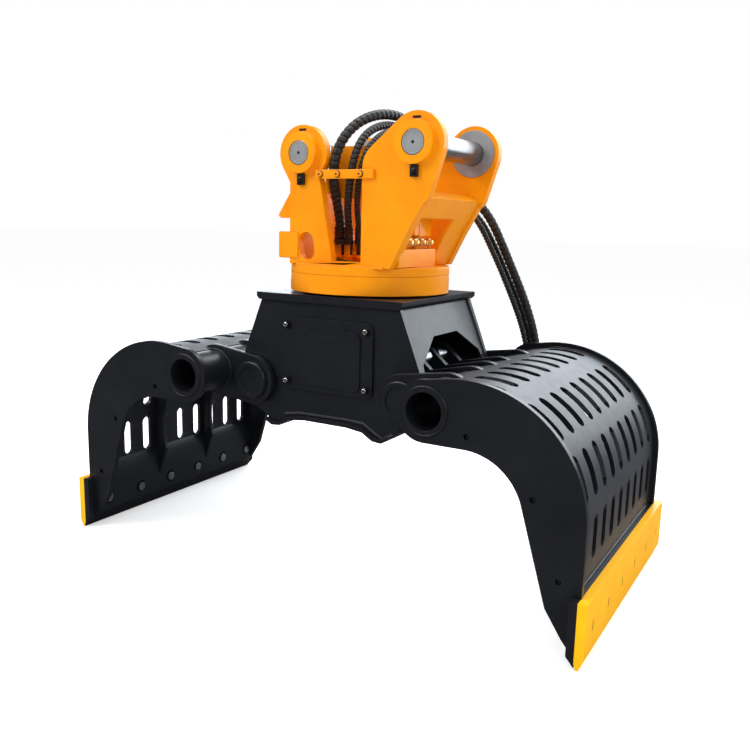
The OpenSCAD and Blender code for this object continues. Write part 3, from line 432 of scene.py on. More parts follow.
def build_scratches():
    """Two stretched noises at different angles; only their thin crests count as scratches, and
    only in the regions that a slow noise picks out."""
    tree, source, sink = new_group("scratches", ["Amount"], ["Mask"])
    masks = []
    for turn, squeeze in zip(SCRATCH_TURNS, SCRATCH_SQUEEZES):
        moved = add(tree, "ShaderNodeMapping", Vector=source["Vector"], Rotation=turn,
                    Scale=squeeze).outputs["Vector"]
        masks.append(ramp(tree, noise(tree, moved, *CREST_NOISE), *CREST_EDGE))
    where = ramp(tree, noise(tree, source["Vector"], *REGION_NOISE), *REGION_EDGE)
    lines = maths(tree, "MULTIPLY", maths(tree, "MAXIMUM", *masks), where)
    feed(tree, sink["Mask"], maths(tree, "MULTIPLY", lines, source["Amount"]))
    return tree


SCRATCHES = build_scratches()
print("group", SCRATCHES.name)

# %% Group: machining marks
RINGS_PER_METRE = 900.0
RING_NOISE = (0.35, 3.0, 0.7)


def build_turning():
    """Rings round the Y axis: noise of the distance from that axis and of the place along it,
    as a lathe or a grinding wheel leaves them."""
    tree, source, sink = new_group("turning_marks", [], ["Mask"])
    place = split(tree, source["Vector"])
    square = maths(tree, "ADD", maths(tree, "POWER", place["X"], 2.0),
                   maths(tree, "POWER", place["Z"], 2.0))
    far = maths(tree, "MULTIPLY", maths(tree, "SQRT", square), RINGS_PER_METRE)
    along = maths(tree, "MULTIPLY", place["Y"], RINGS_PER_METRE)
    lines = add(tree, "ShaderNodeCombineXYZ", X=far, Y=along).outputs["Vector"]
    feed(tree, sink["Mask"], noise(tree, lines, *RING_NOISE))
    return tree


TURNING = build_turning()
print("group", TURNING.name)

# %% [markdown]
# Paints and metals
# The housing and the jaws are sprayed satin black, the bracket a warm orange-yellow with more
# gloss, and the blades a brighter yellow. A paint is a base colour under a clear coat here: the
# groups above vary its tone, its roughness and its height, and the shader does the rest.

# %% Material makers
GLOSS_SPREAD, TONE_EDGE, DUST_DULLS, COAT_ROUGHNESS = 0.16, (0.35, 0.65), 0.5, 0.12
STAIN_NOISE, STAIN_EDGE = (14.0, 5.0, 0.65), (0.4, 0.7)
MARK_TONE, MARK_SPREAD = 0.72, 0.35


def new_material(name):
    """A material, its node tree and its shader."""
    material = bpy.data.materials.new(name)
    material.use_nodes = True
    return material, material.node_tree, material.node_tree.nodes["Principled BSDF"]


def object_place(tree):
    """The place on the object that is shaded, in the object's own coordinates."""
    return tree.nodes.new("ShaderNodeTexCoord").outputs["Object"]


def use(tree, group, **inputs):
    """A node group with its inputs fed."""
    return add(tree, "ShaderNodeGroup", {"node_tree": group}, **inputs).outputs


def bump(tree, height, distance, strength):
    """A normal that leans as if the surface rose by height times distance."""
    return add(tree, "ShaderNodeBump", Height=height, Distance=distance,
               Strength=strength).outputs["Normal"]


def set_shader(tree, shader, values):
    """Feeds the shader's inputs by their labels."""
    for label, value in values.items():
        feed(tree, shader.inputs[label], value)


def paint(name, deep, light, gloss, dust_colour, scratch_colour, scratch, shine, coat=0.0,
          peel=0.5, dust=0.08):
    """Sprayed paint: tone runs from deep to light, scratches and then dust lie over it."""
    material, tree, shader = new_material(name)
    place = object_place(tree)
    skin = use(tree, PAINT_SKIN, Vector=place, Peel=peel, Gloss=gloss, Gloss_Spread=GLOSS_SPREAD)
    lines = use(tree, SCRATCHES, Vector=place, Amount=scratch)["Mask"]
    settled = use(tree, DUST, Vector=place, Amount=dust)["Mask"]
    colour = mixed(tree, ramp(tree, skin["Tone"], *TONE_EDGE), deep, light)
    colour = mixed(tree, lines, colour, scratch_colour)
    colour = mixed(tree, settled, colour, dust_colour)
    dulled = maths(tree, "MULTIPLY", settled, DUST_DULLS)
    set_shader(tree, shader, {
        "Base Color": colour, "Specular IOR Level": shine, "Coat Weight": coat,
        "Coat Roughness": COAT_ROUGHNESS,
        "Roughness": maths(tree, "ADD", skin["Roughness"], dulled, clamp=True),
        "Normal": bump(tree, skin["Height"], distance=0.0006, strength=0.5)})
    return material


def metal(name, colour, stain, rough, marks, metallic=1.0):
    """Bare metal: turning marks move its roughness, and a slow noise stains its colour."""
    material, tree, shader = new_material(name)
    place = object_place(tree)
    lines = use(tree, TURNING, Vector=place)["Mask"]
    stained = ramp(tree, noise(tree, place, *STAIN_NOISE), *STAIN_EDGE)
    base = mixed(tree, stained, colour, stain)
    dark = tuple(part * MARK_TONE for part in colour)
    spread = maths(tree, "MULTIPLY", maths(tree, "SUBTRACT", lines, 0.5), marks * MARK_SPREAD)
    set_shader(tree, shader, {
        "Base Color": mixed(tree, maths(tree, "MULTIPLY", lines, marks), base, dark),
        "Metallic": metallic, "Roughness": maths(tree, "ADD", spread, rough, clamp=True),
        "Normal": bump(tree, lines, distance=0.0002, strength=0.4)})
    return material


# %% The materials
BLACK = paint(
    "black_paint", deep=(0.0042, 0.0050, 0.0078), light=(0.0085, 0.0098, 0.0140), gloss=0.36,
    coat=0.10, dust_colour=(0.10, 0.10, 0.10), scratch_colour=(0.05, 0.052, 0.058), scratch=0.3,
    shine=0.42)
# The shells' paint is the black paint made several times lighter: a painted sheen for the soft
# highlight on the shells' outside. Its higher gloss is real.
SHELL_BLACK_PAINTED_SHEEN = paint(
    "shell_paint", deep=(0.022, 0.025, 0.032), light=(0.034, 0.038, 0.047), gloss=0.46,
    dust_colour=(0.12, 0.12, 0.12), scratch_colour=(0.08, 0.082, 0.09), scratch=0.4, shine=0.6)
# The band's black is made about five times lighter than the black paint: a painted highlight along
# the housing's lower edge.
BAND_BLACK_PAINTED_HIGHLIGHT = paint(
    "worn_black", deep=(0.030, 0.032, 0.036), light=(0.055, 0.057, 0.062), gloss=0.40,
    dust=0.10, dust_colour=(0.12, 0.12, 0.12), scratch_colour=(0.14, 0.14, 0.15), scratch=0.6,
    shine=0.5)
ORANGE = paint(
    "orange_paint", deep=(0.84, 0.255, 0.0005), light=(0.94, 0.325, 0.001), gloss=0.34,
    coat=0.12, peel=0.35, dust=0.05, dust_colour=(0.80, 0.40, 0.05),
    scratch_colour=(0.95, 0.42, 0.04), scratch=0.12, shine=0.16)
YELLOW = paint(
    "yellow_paint", deep=(0.98, 0.45, 0.0004), light=(1.0, 0.53, 0.0008), gloss=0.36,
    coat=0.05, peel=0.35, dust=0.05, dust_colour=(0.80, 0.48, 0.06),
    scratch_colour=(0.90, 0.52, 0.05), scratch=0.15, shine=0.15)
BARE_STEEL = metal("bare_steel", (0.42, 0.43, 0.45), (0.34, 0.34, 0.34), rough=0.32, marks=0.5)
PIN_STEEL = metal("pin_steel", (0.31, 0.32, 0.335), (0.24, 0.24, 0.25), rough=0.5, marks=0.3,
                  metallic=0.25)
DARK_STEEL = metal("dark_steel", (0.07, 0.07, 0.075), (0.11, 0.09, 0.07), rough=0.42, marks=0.5)
ZINC = metal("zinc", (0.66, 0.68, 0.72), (0.55, 0.54, 0.50), rough=0.26, marks=0.4)
BRASS = metal("brass", (0.95, 0.66, 0.22), (0.70, 0.45, 0.13), rough=0.24, marks=0.4,
              metallic=0.7)
# The rods' chrome is darkened to about half its brightness: painted shade for the rods inside the
# housing.
CHROME_PAINTED_SHADE = metal("chrome_rod", (0.30, 0.31, 0.33), (0.22, 0.23, 0.24), rough=0.22, marks=0.25)
print("paints and metals:", [m.name for m in bpy.data.materials])

# %% [markdown]
# Hose rubber
# The guard is moulded plastic with fine ribs along the strip. The big winding is in the mesh; the
# fine ribs are too small for that, so they are a bump that follows an attribute of the mesh.

# %% Material: hose guard
RIBS_PER_TURN = 4
WEAR_NOISE, WEAR_EDGE = (60.0, 4.0, 0.6), (0.4, 0.75)
# The gap between the strip's turns is near black, much darker than the strip: painted shade in the
# groove.
STRIP_DARK, STRIP_WORN, GAP_PAINTED_SHADE = (0.016, 0.016, 0.017), (0.034, 0.034, 0.036), (0.002,) * 3
GAP_EDGE = (0.08, 0.16)


def build_hose_material():
    """Fine ribs = sine of the winding's own coordinate, which the mesh carries per point."""
    material, tree, shader = new_material("hose_rubber")
    turn = add(tree, "ShaderNodeAttribute", {"attribute_name": "winding"}).outputs["Fac"]
    fine = maths(tree, "SINE", maths(tree, "MULTIPLY", turn, 2 * math.pi * RIBS_PER_TURN))
    worn = noise(tree, object_place(tree), *WEAR_NOISE)
    strip = mixed(tree, ramp(tree, worn, *WEAR_EDGE), STRIP_DARK, STRIP_WORN)
    within = ramp(tree, maths(tree, "PINGPONG", turn, 0.5), *GAP_EDGE)
    set_shader(tree, shader, {
        "Base Color": mixed(tree, within, GAP_PAINTED_SHADE, strip),
        "Roughness": ramp(tree, worn, 0.3, 0.7, to_low=0.28, to_high=0.45),
        "Normal": bump(tree, fine, distance=0.0005, strength=0.6)})
    return material


HOSE_RUBBER = build_hose_material()
print("material", HOSE_RUBBER.name)

# %% [markdown]
# Winding the guards
# A point of the grid at distance s along the hose and angle a round it lies in turn
# s / pitch - a / 360 degrees of the strip. Its place within that turn, from 0 to 1, gives the
# radius: a gently crowned strip, and a narrow gap down to the hose. The hose hangs between two
# bodies; here it is made in place and rides on neither.

# %% Make the hoses
GUARD_PITCH = {"large": 0.0200, "middle": 0.0160, "small": 0.0135}
GAP_SHARE, GAP_DEPTH, CROWN = 0.30, 0.0020, 0.0007
HOSE_SIDES, ROWS_PER_TURN = 20, 9


def guard_radius(along, angle, pitch, radius):
    """Radius minus a crown that falls off to both edges of the strip, minus a smooth gap."""
    turn = along[:, None] / pitch - angle[None, :] / (2 * np.pi)
    place = np.mod(turn, 1.0)
    crown = CROWN * (2 * place - 1) ** 2
    edge = np.minimum(place, 1 - place)
    gap = GAP_DEPTH * (1 - np.clip(edge / (GAP_SHARE / 2), 0, 1) ** 2)
    return radius - crown - gap, turn


def make_hose(name):
    """A hose in its guard: a tube round the centreline with the guard's radius at each point,
    and the winding's coordinate stored with it for the material."""
    route, diameter = HOSES[name]
    pitch = GUARD_PITCH[name]
    line = spline(route, pitch / ROWS_PER_TURN)
    along = run_along(line)
    angle = np.linspace(0, 2 * np.pi, HOSE_SIDES, endpoint=False)
    radii, turn = guard_radius(along, angle, pitch, diameter / 2)
    points, faces = capped(tube_grid(line, radii))
    piece = new_piece(f"{name}_hose", points, faces, HOSE_RUBBER, None)
    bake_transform(piece)
    layer = piece.data.attributes.new("winding", "FLOAT", "POINT")
    values = np.concatenate([turn.reshape(-1), [0, 0]]).astype(np.float32)
    layer.data.foreach_set("value", values)
    print(piece.name, "guard turns", int(along[-1] / pitch), "points", len(points))
    return piece


hoses = {name: make_hose(name) for name in HOSES}

# %% [markdown]
# Dressing the fixed frame
# The CAD solids have knife-sharp edges. Real plate edges are rounded by grinding and by the paint,
# and it is this thin bright line that makes a plate look solid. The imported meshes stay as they
# are: modifiers join their loose triangles, merge flat faces and then round the sharp edges.

# %% Edge rounding for CAD nodes
SAME_POINT = 0.00002
FLAT_BELOW, SMOOTH_BELOW, SHARP_ABOVE = np.radians([0.4, 25, 32])


def geometry_tree(name):
    """An empty geometry tree, the geometry that comes in and the socket where it goes out."""
    tree = bpy.data.node_groups.new(name, "GeometryNodeTree")
    for way in ("INPUT", "OUTPUT"):
        tree.interface.new_socket("Geometry", in_out=way, socket_type="NodeSocketGeometry")
    return (tree, tree.nodes.new("NodeGroupInput").outputs[0],
            tree.nodes.new("NodeGroupOutput").inputs[0])


def build_joined_faces():
    """Drops stored normals and merges the points that loose triangles share."""
    tree, geometry, result = geometry_tree("joined_faces")
    bare = add(tree, "GeometryNodeRemoveAttribute", Geometry=geometry, Name="custom_normal")
    merged = add(tree, "GeometryNodeMergeByDistance", Geometry=bare.outputs["Geometry"],
                 Distance=SAME_POINT)
    feed(tree, result, merged.outputs["Geometry"])
    return tree


def build_smooth_faces():
    """Shades faces smoothly, except across edges that turn by more than a small angle."""
    tree, geometry, result = geometry_tree("smooth_faces")
    angle = tree.nodes.new("GeometryNodeInputMeshEdgeAngle").outputs["Unsigned Angle"]
    gentle = add(tree, "FunctionNodeCompare", {"data_type": "FLOAT", "operation": "LESS_EQUAL"},
                 i0=angle, i1=SMOOTH_BELOW).outputs[0]
    edges = add(tree, "GeometryNodeSetShadeSmooth", {"domain": "EDGE"}, Geometry=geometry,
                Shade_Smooth=gentle)
    faces = add(tree, "GeometryNodeSetShadeSmooth", {"domain": "FACE"},
                Geometry=edges.outputs["Geometry"])
    feed(tree, result, faces.outputs["Geometry"])
    return tree


JOINED, SMOOTHED = build_joined_faces(), build_smooth_faces()


def modify(piece, name, kind, **settings):
    """Adds a modifier with its settings to a piece."""
    modifier = piece.modifiers.new(name, kind)
    for key, value in settings.items():
        setattr(modifier, key, value)


def round_off(piece, rounding):
    """Bevels the sharp edges by that radius, and shades flat faces flat right up to them."""
    modify(piece, "round_off", "BEVEL", width=rounding, segments=2, limit_method="ANGLE",
           angle_limit=SHARP_ABOVE, use_clamp_overlap=True, miter_outer="MITER_SHARP")
    modify(piece, "smooth", "NODES", node_group=SMOOTHED)
    modify(piece, "even", "WEIGHTED_NORMAL", keep_sharp=True)


def dress(node, material, rounding):
    """A material for a CAD node, and its edges rounded by that radius."""
    piece = frame["nodes"][node]
    piece.data.materials.clear()
    piece.data.materials.append(material)
    modify(piece, "join", "NODES", node_group=JOINED)
    modify(piece, "flatten", "DECIMATE", decimate_type="DISSOLVE", angle_limit=FLAT_BELOW)
    round_off(piece, rounding)


# %% Materials for the CAD nodes
DRESSES = [
    (BLACK, .002, ["belly_plate", "pin_locks", "front_cylinder_barrel", "rear_cylinder_barrel"]),
    (BLACK, .003, ["top_plate", "front_plate", "rear_plate", "end_plates", "front_cover",
                   "rear_cover"]),
    (ORANGE, .001, ["swivel_head"]),
    (ORANGE, .002, ["slew_outer_ring", "hose_clamp_bar"]),
    (ORANGE, .003, ["base_flange", "left_web", "left_guard", "slew_motor"]),
    (ORANGE, .004, ["front_cheek", "rear_cheek", "cross_box"]),
    (CHROME_PAINTED_SHADE, .001, ["front_cylinder_rod", "rear_cylinder_rod"]),
    (BARE_STEEL, .002, ["stick_pin", "link_pin"]),
    (PIN_STEEL, .002, ["thrust_washers"]),
    (DARK_STEEL, .001, ["slew_ring_gear", "slew_pinion", "swivel_core", "housing_bolts",
                        "hose_fittings"]),
    (BRASS, .001, ["pivot_bushes", "motor_fittings"]),
    (ZINC, .001, ["hose_couplings"])]
JAW_DRESSES = [
    (BLACK, .002, ["ribs", "hub_caps"]),
    (BLACK, .003, ["side_plates", "torque_tube", "blade_holder", "cranks"]),
    (BLACK, .004, ["outer_arms"]),
    (SHELL_BLACK_PAINTED_SHEEN, .002, ["shell"]),
    (YELLOW, .003, ["blade"]),
    (BARE_STEEL, .002, ["pivot_pin"]),
    (DARK_STEEL, .002, ["lever_pin"]),
    (ZINC, .001, ["blade_bolts"])]
for side in SIDES:
    DRESSES += [(material, rounding, [f"{side}_{part}" for part in parts])
                for material, rounding, parts in JAW_DRESSES]
for material, rounding, nodes in DRESSES:
    for node in nodes:
        dress(node, material, rounding)
print("CAD nodes dressed:", sum(1 for n in frame["nodes"].values() if n.modifiers))

# %% [markdown]
# Two paints on one node
# A blade and its bolts are yellow on the outside only. A shell's outside wears a lighter copy of
# the black paint, a painted sheen, and its inside the plain black.
# A second material could be given face by face, but the modifiers above remake the faces, so a
# geometry node gives it by a rule that reads each face's place and direction.

# %% Two paints on one node
SHELL_R = 0.356
ARC_X = side_of("right_shell", HIGH, X) - SHELL_R
ARC_Z = side_of("right_shell", HIGH, Z) - SHELL_R
BOLT_HEADS_FROM_X, PORTS_BELOW_Z, FACING_BACK = 0.968, 1.098, -0.3


def build_two_paints(name, second, choose):
    """Gives the second paint to the faces that choose picks out from four numbers: how far the
    face looks outward along X, and upward, its distance from the middle, and its height."""
    tree, geometry, result = geometry_tree(name)
    place = split(tree, tree.nodes.new("GeometryNodeInputPosition").outputs[0])
    normal = split(tree, tree.nodes.new("GeometryNodeInputNormal").outputs[0])
    seen = {"outward": maths(tree, "MULTIPLY", normal["X"], maths(tree, "SIGN", place["X"])),
            "upward": normal["Z"], "reach": maths(tree, "ABSOLUTE", place["X"]),
            "height": place["Z"]}
    put = add(tree, "GeometryNodeSetMaterial", Geometry=geometry, Material=second,
              Selection=choose(tree, seen))
    feed(tree, result, put.outputs[0])
    return tree


def repaint(nodes, name, second, choose):
    """Puts the second paint on the chosen faces of these nodes."""
    group = build_two_paints(name, second, choose)
    for node in nodes:
        piece = frame["nodes"][node]
        piece.data.materials.append(second)
        modify(piece, "second_paint", "NODES", node_group=group)
    print(second.name, "on part of", nodes)


def faces_the_arc(tree, seen):
    """The inside of a shell: its normal points back at the centre line of the curve."""
    across = maths(tree, "MULTIPLY", seen["outward"], maths(tree, "SUBTRACT", seen["reach"], ARC_X))
    lift = maths(tree, "MULTIPLY", seen["upward"], maths(tree, "SUBTRACT", seen["height"], ARC_Z))
    return maths(tree, "LESS_THAN", maths(tree, "ADD", across, lift), 0.0)


repaint([f"{side}_blade" for side in SIDES], "blade_backs", BLACK,
        lambda tree, seen: maths(tree, "LESS_THAN", seen["outward"], FACING_BACK))
repaint([f"{side}_blade_bolts" for side in SIDES], "bolt_heads", YELLOW,
        lambda tree, seen: maths(tree, "GREATER_THAN", seen["reach"], BOLT_HEADS_FROM_X))
repaint([f"{side}_shell" for side in SIDES], "shell_inside", BLACK, faces_the_arc)
repaint(["hose_fittings"], "painted_ports", ORANGE,
        lambda tree, seen: maths(tree, "LESS_THAN", seen["height"], PORTS_BELOW_Z))

# %% [markdown]
# Turned detail
# Bolt heads, pin faces and sleeves are lathe shapes. A profile of radius and height is swept round
# an axis, and with six sides the same sweep makes a hexagon.


# %% Lathe and box helpers
def turned(profile, centre, axis, sides):
    """Points of a lathe shape: centre + axis h + r (u cos a + v sin a) for each pair of the
    profile, a radius r and a height h."""
    axis = unit(axis)
    u = unit(np.cross((0.0, 0.0, 1.0) if abs(axis[2]) < 0.9 else (1.0, 0.0, 0.0), axis))
    v = np.cross(axis, u)
    a = np.linspace(0, 2 * np.pi, sides, endpoint=False)
    ring = u * np.cos(a)[:, None] + v * np.sin(a)[:, None]
    r, h = np.asarray(profile, float).T
    grid = np.asarray(centre, float) + axis * h[:, None, None] + ring * r[:, None, None]
    return capped(grid[:, ::-1])


def block(low, high):
    """The eight corners and six faces of a box between two corners."""
    (x0, y0, z0), (x1, y1, z1) = low, high
    points = [(x, y, z) for z in (z0, z1) for x, y in ((x0, y0), (x1, y0), (x1, y1), (x0, y1))]
    return points, [(3, 2, 1, 0), (4, 5, 6, 7), (0, 1, 5, 4), (1, 2, 6, 5), (2, 3, 7, 6),
                    (3, 0, 4, 7)]


def on_both_faces(profile, places, y, sides):
    """Lathe shapes at each x, z of the places, looking out from the front at -y and from the
    rear at y."""
    made = Parts()
    for x, z in places:
        for way in FRONT_AND_REAR:
            made.add(*turned(profile, (x, way * y, z), (0, way, 0), sides))
    return made


# %% Pin faces
PIN_END = side_of("stick_pin", HIGH, Y)
PIN_FACE = [(.0380, 0), (.0380, .0004), (.0366, .0016), (.0312, .0016), (.0306, .0009),
            (.0292, .0009), (.0286, .0016), (.0062, .0016), (.0050, .0004), (.0048, .0002),
            (.0004, .0002)]
PIN_DOT = [(.0046, .0002), (.0044, .0012), (.0030, .0016), (.0004, .0017)]
faces = on_both_faces(PIN_FACE, PINS, PIN_END, sides=48)
dots = on_both_faces(PIN_DOT, PINS, PIN_END, sides=16)
faces.piece("pin_faces", PIN_STEEL, "bracket", rounding=0.0003)
dots.piece("pin_centres", DARK_STEEL, "bracket")

# %% Cover bolts
COVER_BOLTS = [(x, z) for x in (-.1585, .1585) for z in (.6435, .8380)]
COVER_HEAD_Y = side_of("housing_bolts", HIGH, Y)
DOME = [(.0094, -.002), (.0094, .0012), (.0084, .0030), (.0062, .0042), (.0040, .0046),
        (.0036, .0040), (.0034, .0014), (.0004, .0014)]
DOME_SOCKET = [(.0033, .0015), (.0032, .0019), (.0004, .0019)]
domes = on_both_faces(DOME, COVER_BOLTS, COVER_HEAD_Y, sides=24)
# The dark hex at the bottom of each dome's recess is painted shade in the socket.
sockets = on_both_faces(DOME_SOCKET, COVER_BOLTS, COVER_HEAD_Y, sides=6)
domes.piece("cover_bolt_domes", ZINC, "housing")
sockets.piece("cover_bolt_sockets", DARK_STEEL, "housing")

# %% Clamp bolts
CLAMP_BOLTS = [-.054, .013, .100]
CLAMP_Y, CLAMP_Z = -.2490, 1.3415
HEAD = [(.0090, .0012), (.0090, .0072), (.0082, .0080), (.0004, .0082)]
RIM = [(.0118, -.0004), (.0118, .0008), (.0112, .0012), (.0090, .0012), (.0004, .0012)]
SOCKET = [(.0042, .0080), (.0040, .0084), (.0004, .0084)]
heads, rim_and_socket_shade = Parts(), Parts()
for x in CLAMP_BOLTS:
    heads.add(*turned(HEAD, (x, CLAMP_Y, CLAMP_Z), (0, -1, 0), sides=24))
    # Each head sits on a washer. The washer's dark ring round the head and the dark hex on the
    # head's top are painted shade: a shade line round the head and a socket.
    rim_and_socket_shade.add(*turned(RIM, (x, CLAMP_Y, CLAMP_Z), (0, -1, 0), sides=32))
    rim_and_socket_shade.add(*turned(SOCKET, (x, CLAMP_Y, CLAMP_Z), (0, -1, 0), sides=6))
heads.piece("clamp_bolt_heads", ORANGE, "bracket", rounding=0.0006)
rim_and_socket_shade.piece("clamp_bolt_rims", DARK_STEEL, "bracket")

# %% Painted shade: black blocks at the bottoms of the ear slot recesses
SLOT_HALF_WIDTH = .0146
SLOT_DEPTHS = (.2275, .2345)
SLOT_RISES = (.0724, .0796)
slot_shade = Parts()
for x, z in PINS:
    for way in FRONT_AND_REAR:
        near, far = sorted(way * depth for depth in SLOT_DEPTHS)
        slot_shade.add(*block((x - SLOT_HALF_WIDTH, near, z + SLOT_RISES[0]),
                         (x + SLOT_HALF_WIDTH, far, z + SLOT_RISES[1])))
slot_shade.piece("ear_slot_bottoms", BLACK, "bracket", smooth=False)

# %% Bridge behind the hoses
BRIDGE_X, BRIDGE_Y, BRIDGE_Z = (-.086, .112), (-.138, -.128), (1.268, 1.440)
WING_FRONT, WING_FOOT = -.206, 1.280
WINGS = [((-.062, -.054), 1.360), ((.104, .112), 1.398)]
bridge = Parts()
bridge.add(*block(*zip(BRIDGE_X, BRIDGE_Y, BRIDGE_Z)))
for (x_low, x_high), top in WINGS:
    bridge.add(*block((x_low, WING_FRONT, WING_FOOT), (x_high, BRIDGE_Y[1], top)))
bridge.piece("hose_bridge", ORANGE, "bracket", rounding=0.0015)

# %% Shoulders and ports of the slewing motor
SHOULDERS = [((.140, -.2030, 1.0440), (.2262, .0662, 1.1038)),
             ((.140, -.0800, 1.1480), (.2168, -.0482, 1.2020))]
PORT_X, PORT_Z, PORT_YS = .190, 1.1260, (-.128, -.086, -.036, .020)
PORT_NUT = [(.0160, 0), (.0160, .018), (.0115, .019), (.0115, .024), (.0145, .025),
            (.0145, .036), (.0100, .037), (.0080, .046), (.0004, .046)]
PORT_STEM = [(.0085, -.030), (.0085, .001)]
shoulders, ports = Parts(), Parts()
for low, high in SHOULDERS:
    shoulders.add(*block(low, high))
for y in PORT_YS:
    ports.add(*turned(PORT_NUT, (PORT_X, y, PORT_Z), (1, 0, 0), sides=6))
    ports.add(*turned(PORT_STEM, (PORT_X, y, PORT_Z), (1, 0, 0), sides=16))
shoulders.piece("motor_shoulders", ORANGE, "bracket", rounding=0.003)
ports.piece("motor_ports", BRASS, "bracket", rounding=0.0008)

# %% Sleeves and nuts of the hoses
SLEEVE = [(1.00, 0), (1.16, .002), (1.16, .010), (1.08, .012), (1.08, .014), (1.16, .016),
          (1.16, .024), (1.08, .026), (1.08, .028), (1.16, .030), (1.14, .038), (1.02, .042)]
NUT = [(1.20, -.020), (1.34, -.018), (1.34, -.004), (1.20, -.002), (0.9, -.001)]
sleeves, ends = Parts(), Parts()
for route, diameter in HOSES.values():
    radius = diameter / 2
    for parts, place in ((sleeves, route[0]), (ends, route[-1])):
        parts.add(*turned([(r * radius, h) for r, h in SLEEVE], place, (0, 0, 1), sides=32))
        parts.add(*turned([(r * radius, h) for r, h in NUT], place, (0, 0, 1), sides=6))
sleeves.piece("hose_sleeves", DARK_STEEL, "bracket", rounding=0.0004)
ends.piece("coupling_sleeves", ZINC, "housing", rounding=0.0004)

# %% Plugs of the drain holes, and painted shade in the slits of the blade bolts
DRAINS, PLUG_Y = [(0.604, 0.5952), (0.8097, 0.4474), (0.8969, 0.2281)], .455
PLUG = [(.0086, 0), (.0086, .006), (.0074, .008), (.0004, .008)]
BLADE_BOLT_STEP = 0.168
BLADE_BOLTS = [(k - 2.5) * BLADE_BOLT_STEP for k in range(6)]
SLIT_SHADE_X, SLIT_SHADE_HALF_WIDTH, SLIT_SHADE_Z = (.9800, .9887), .0034, (.0902, .1198)
for side, sign in SIDES.items():
    plugs = on_both_faces(PLUG, [(sign * x, z) for x, z in DRAINS], PLUG_Y, sides=24)
    # The black blocks fill the slits in the yellow blade bolts: painted shade in those recesses.
    marks = Parts()
    low, high = sorted(sign * x for x in SLIT_SHADE_X)
    for y in BLADE_BOLTS:
        marks.add(*block((low, y - SLIT_SHADE_HALF_WIDTH, SLIT_SHADE_Z[0]),
                         (high, y + SLIT_SHADE_HALF_WIDTH, SLIT_SHADE_Z[1])))
    plugs.piece(f"{side}_drain_plugs", BLACK, f"jaw_{side}")
    marks.piece(f"{side}_bolt_marks", BLACK, f"jaw_{side}", smooth=False)

# %% [markdown]
# Weld beads
# The grapple is welded from plate, and the beads show where one plate meets the next. A smooth
# fillet would look moulded. A real bead has ripples, one for each step of the torch, and they bow
# forward in the middle of the bead.

# %% Weld helpers
RIPPLE, RIPPLE_SHARE, BOW_SHARE = 0.0062, 0.11, 0.18
WANDER_SHARE, WANDER_RATE = 0.05, 61
BEAD_SIDES, BEAD_STEP = 8, 0.0021
ALONG_Y, ALONG_Z = (0, 1, 0), (0, 0, 1)


def weld(line, radius, hint, closed=False):
    """A tube round a line whose radius is radius (1 + ripple sin(2 pi (s / step + bow cos a)))
    at distance s and angle a, with a slow wander on top."""
    s = run_along(line)[:, None]
    a = np.linspace(0, 2 * np.pi, BEAD_SIDES, endpoint=False)[None]
    ripple = RIPPLE_SHARE * np.sin(2 * np.pi * (s / RIPPLE + BOW_SHARE * np.cos(a)))
    radii = radius * (1 + ripple + WANDER_SHARE * np.sin(s * WANDER_RATE))
    grid = tube_grid(line, radii, hint, closed)
    if closed:
        return grid.reshape(-1, 3), grid_faces(*radii.shape, wrap_rows=True, wrap_cols=True)
    return capped(grid)


def seam(points, radius, hint):
    """A bead along a polyline, whose points are spaced evenly first."""
    p = np.asarray(points, float)
    far = run_along(p)
    at = np.linspace(0, far[-1], int(far[-1] / BEAD_STEP) + 2)
    return weld(np.stack([np.interp(at, far, p[:, k]) for k in range(3)], axis=1), radius, hint)


def ring_seam(x, y, z, ring, radius):
    """A bead round a circle whose axis runs along Y."""
    a = np.linspace(0, 2 * np.pi, int(2 * np.pi * ring / BEAD_STEP), endpoint=False)
    line = np.stack([x + ring * np.cos(a), np.full_like(a, y), z + ring * np.sin(a)], axis=1)
    return weld(line, radius, ALONG_Y, closed=True)


# %% Bracket welds
CHEEK_OUT, CHEEK_IN = -side_of("left_guard", LOW, Y), -side_of("front_cheek", HIGH, Y)
FLANGE_Z = side_of("base_flange", HIGH, Z)
BOSS_R = 0.0665
CHEEK_FOOT_X = (-.156, .187)
BOX_SEAM = [(.202, 1.050), (.255, 1.150), (.326, 1.271)]
WEB_SEAM = [(-.184, 1.060), (-.184, 1.318)]
bracket_welds = Parts()
for way in FRONT_AND_REAR:
    for x, z in PINS:
        bracket_welds.add(*ring_seam(x, way * CHEEK_OUT, z, BOSS_R, radius=0.0042))
    for y in (CHEEK_OUT, CHEEK_IN):
        foot = [(x, way * y, FLANGE_Z) for x in CHEEK_FOOT_X]
        bracket_welds.add(*seam(foot, radius=0.0050, hint=ALONG_Z))
    for points, radius in ((BOX_SEAM, 0.0045), (WEB_SEAM, 0.0040)):
        bracket_welds.add(*seam([(x, way * CHEEK_IN, z) for x, z in points], radius, ALONG_Y))
bracket_welds.piece("bracket_welds", ORANGE, "bracket")

# %% Belly band and guard plate
BAND = [(-.172, .521), (-.108, .5305), (.085, .5335), (.150, .5300), (.190, .5060),
        (.223, .4880), (.262, .5085)]
BAND_WIDTH, BAND_NEAR, BAND_FAR = .0075, .2755, .2795
GUARD_PLATE = (-.2275, -.2415, 1.0640), (-.1480, -.2368, 1.1500)


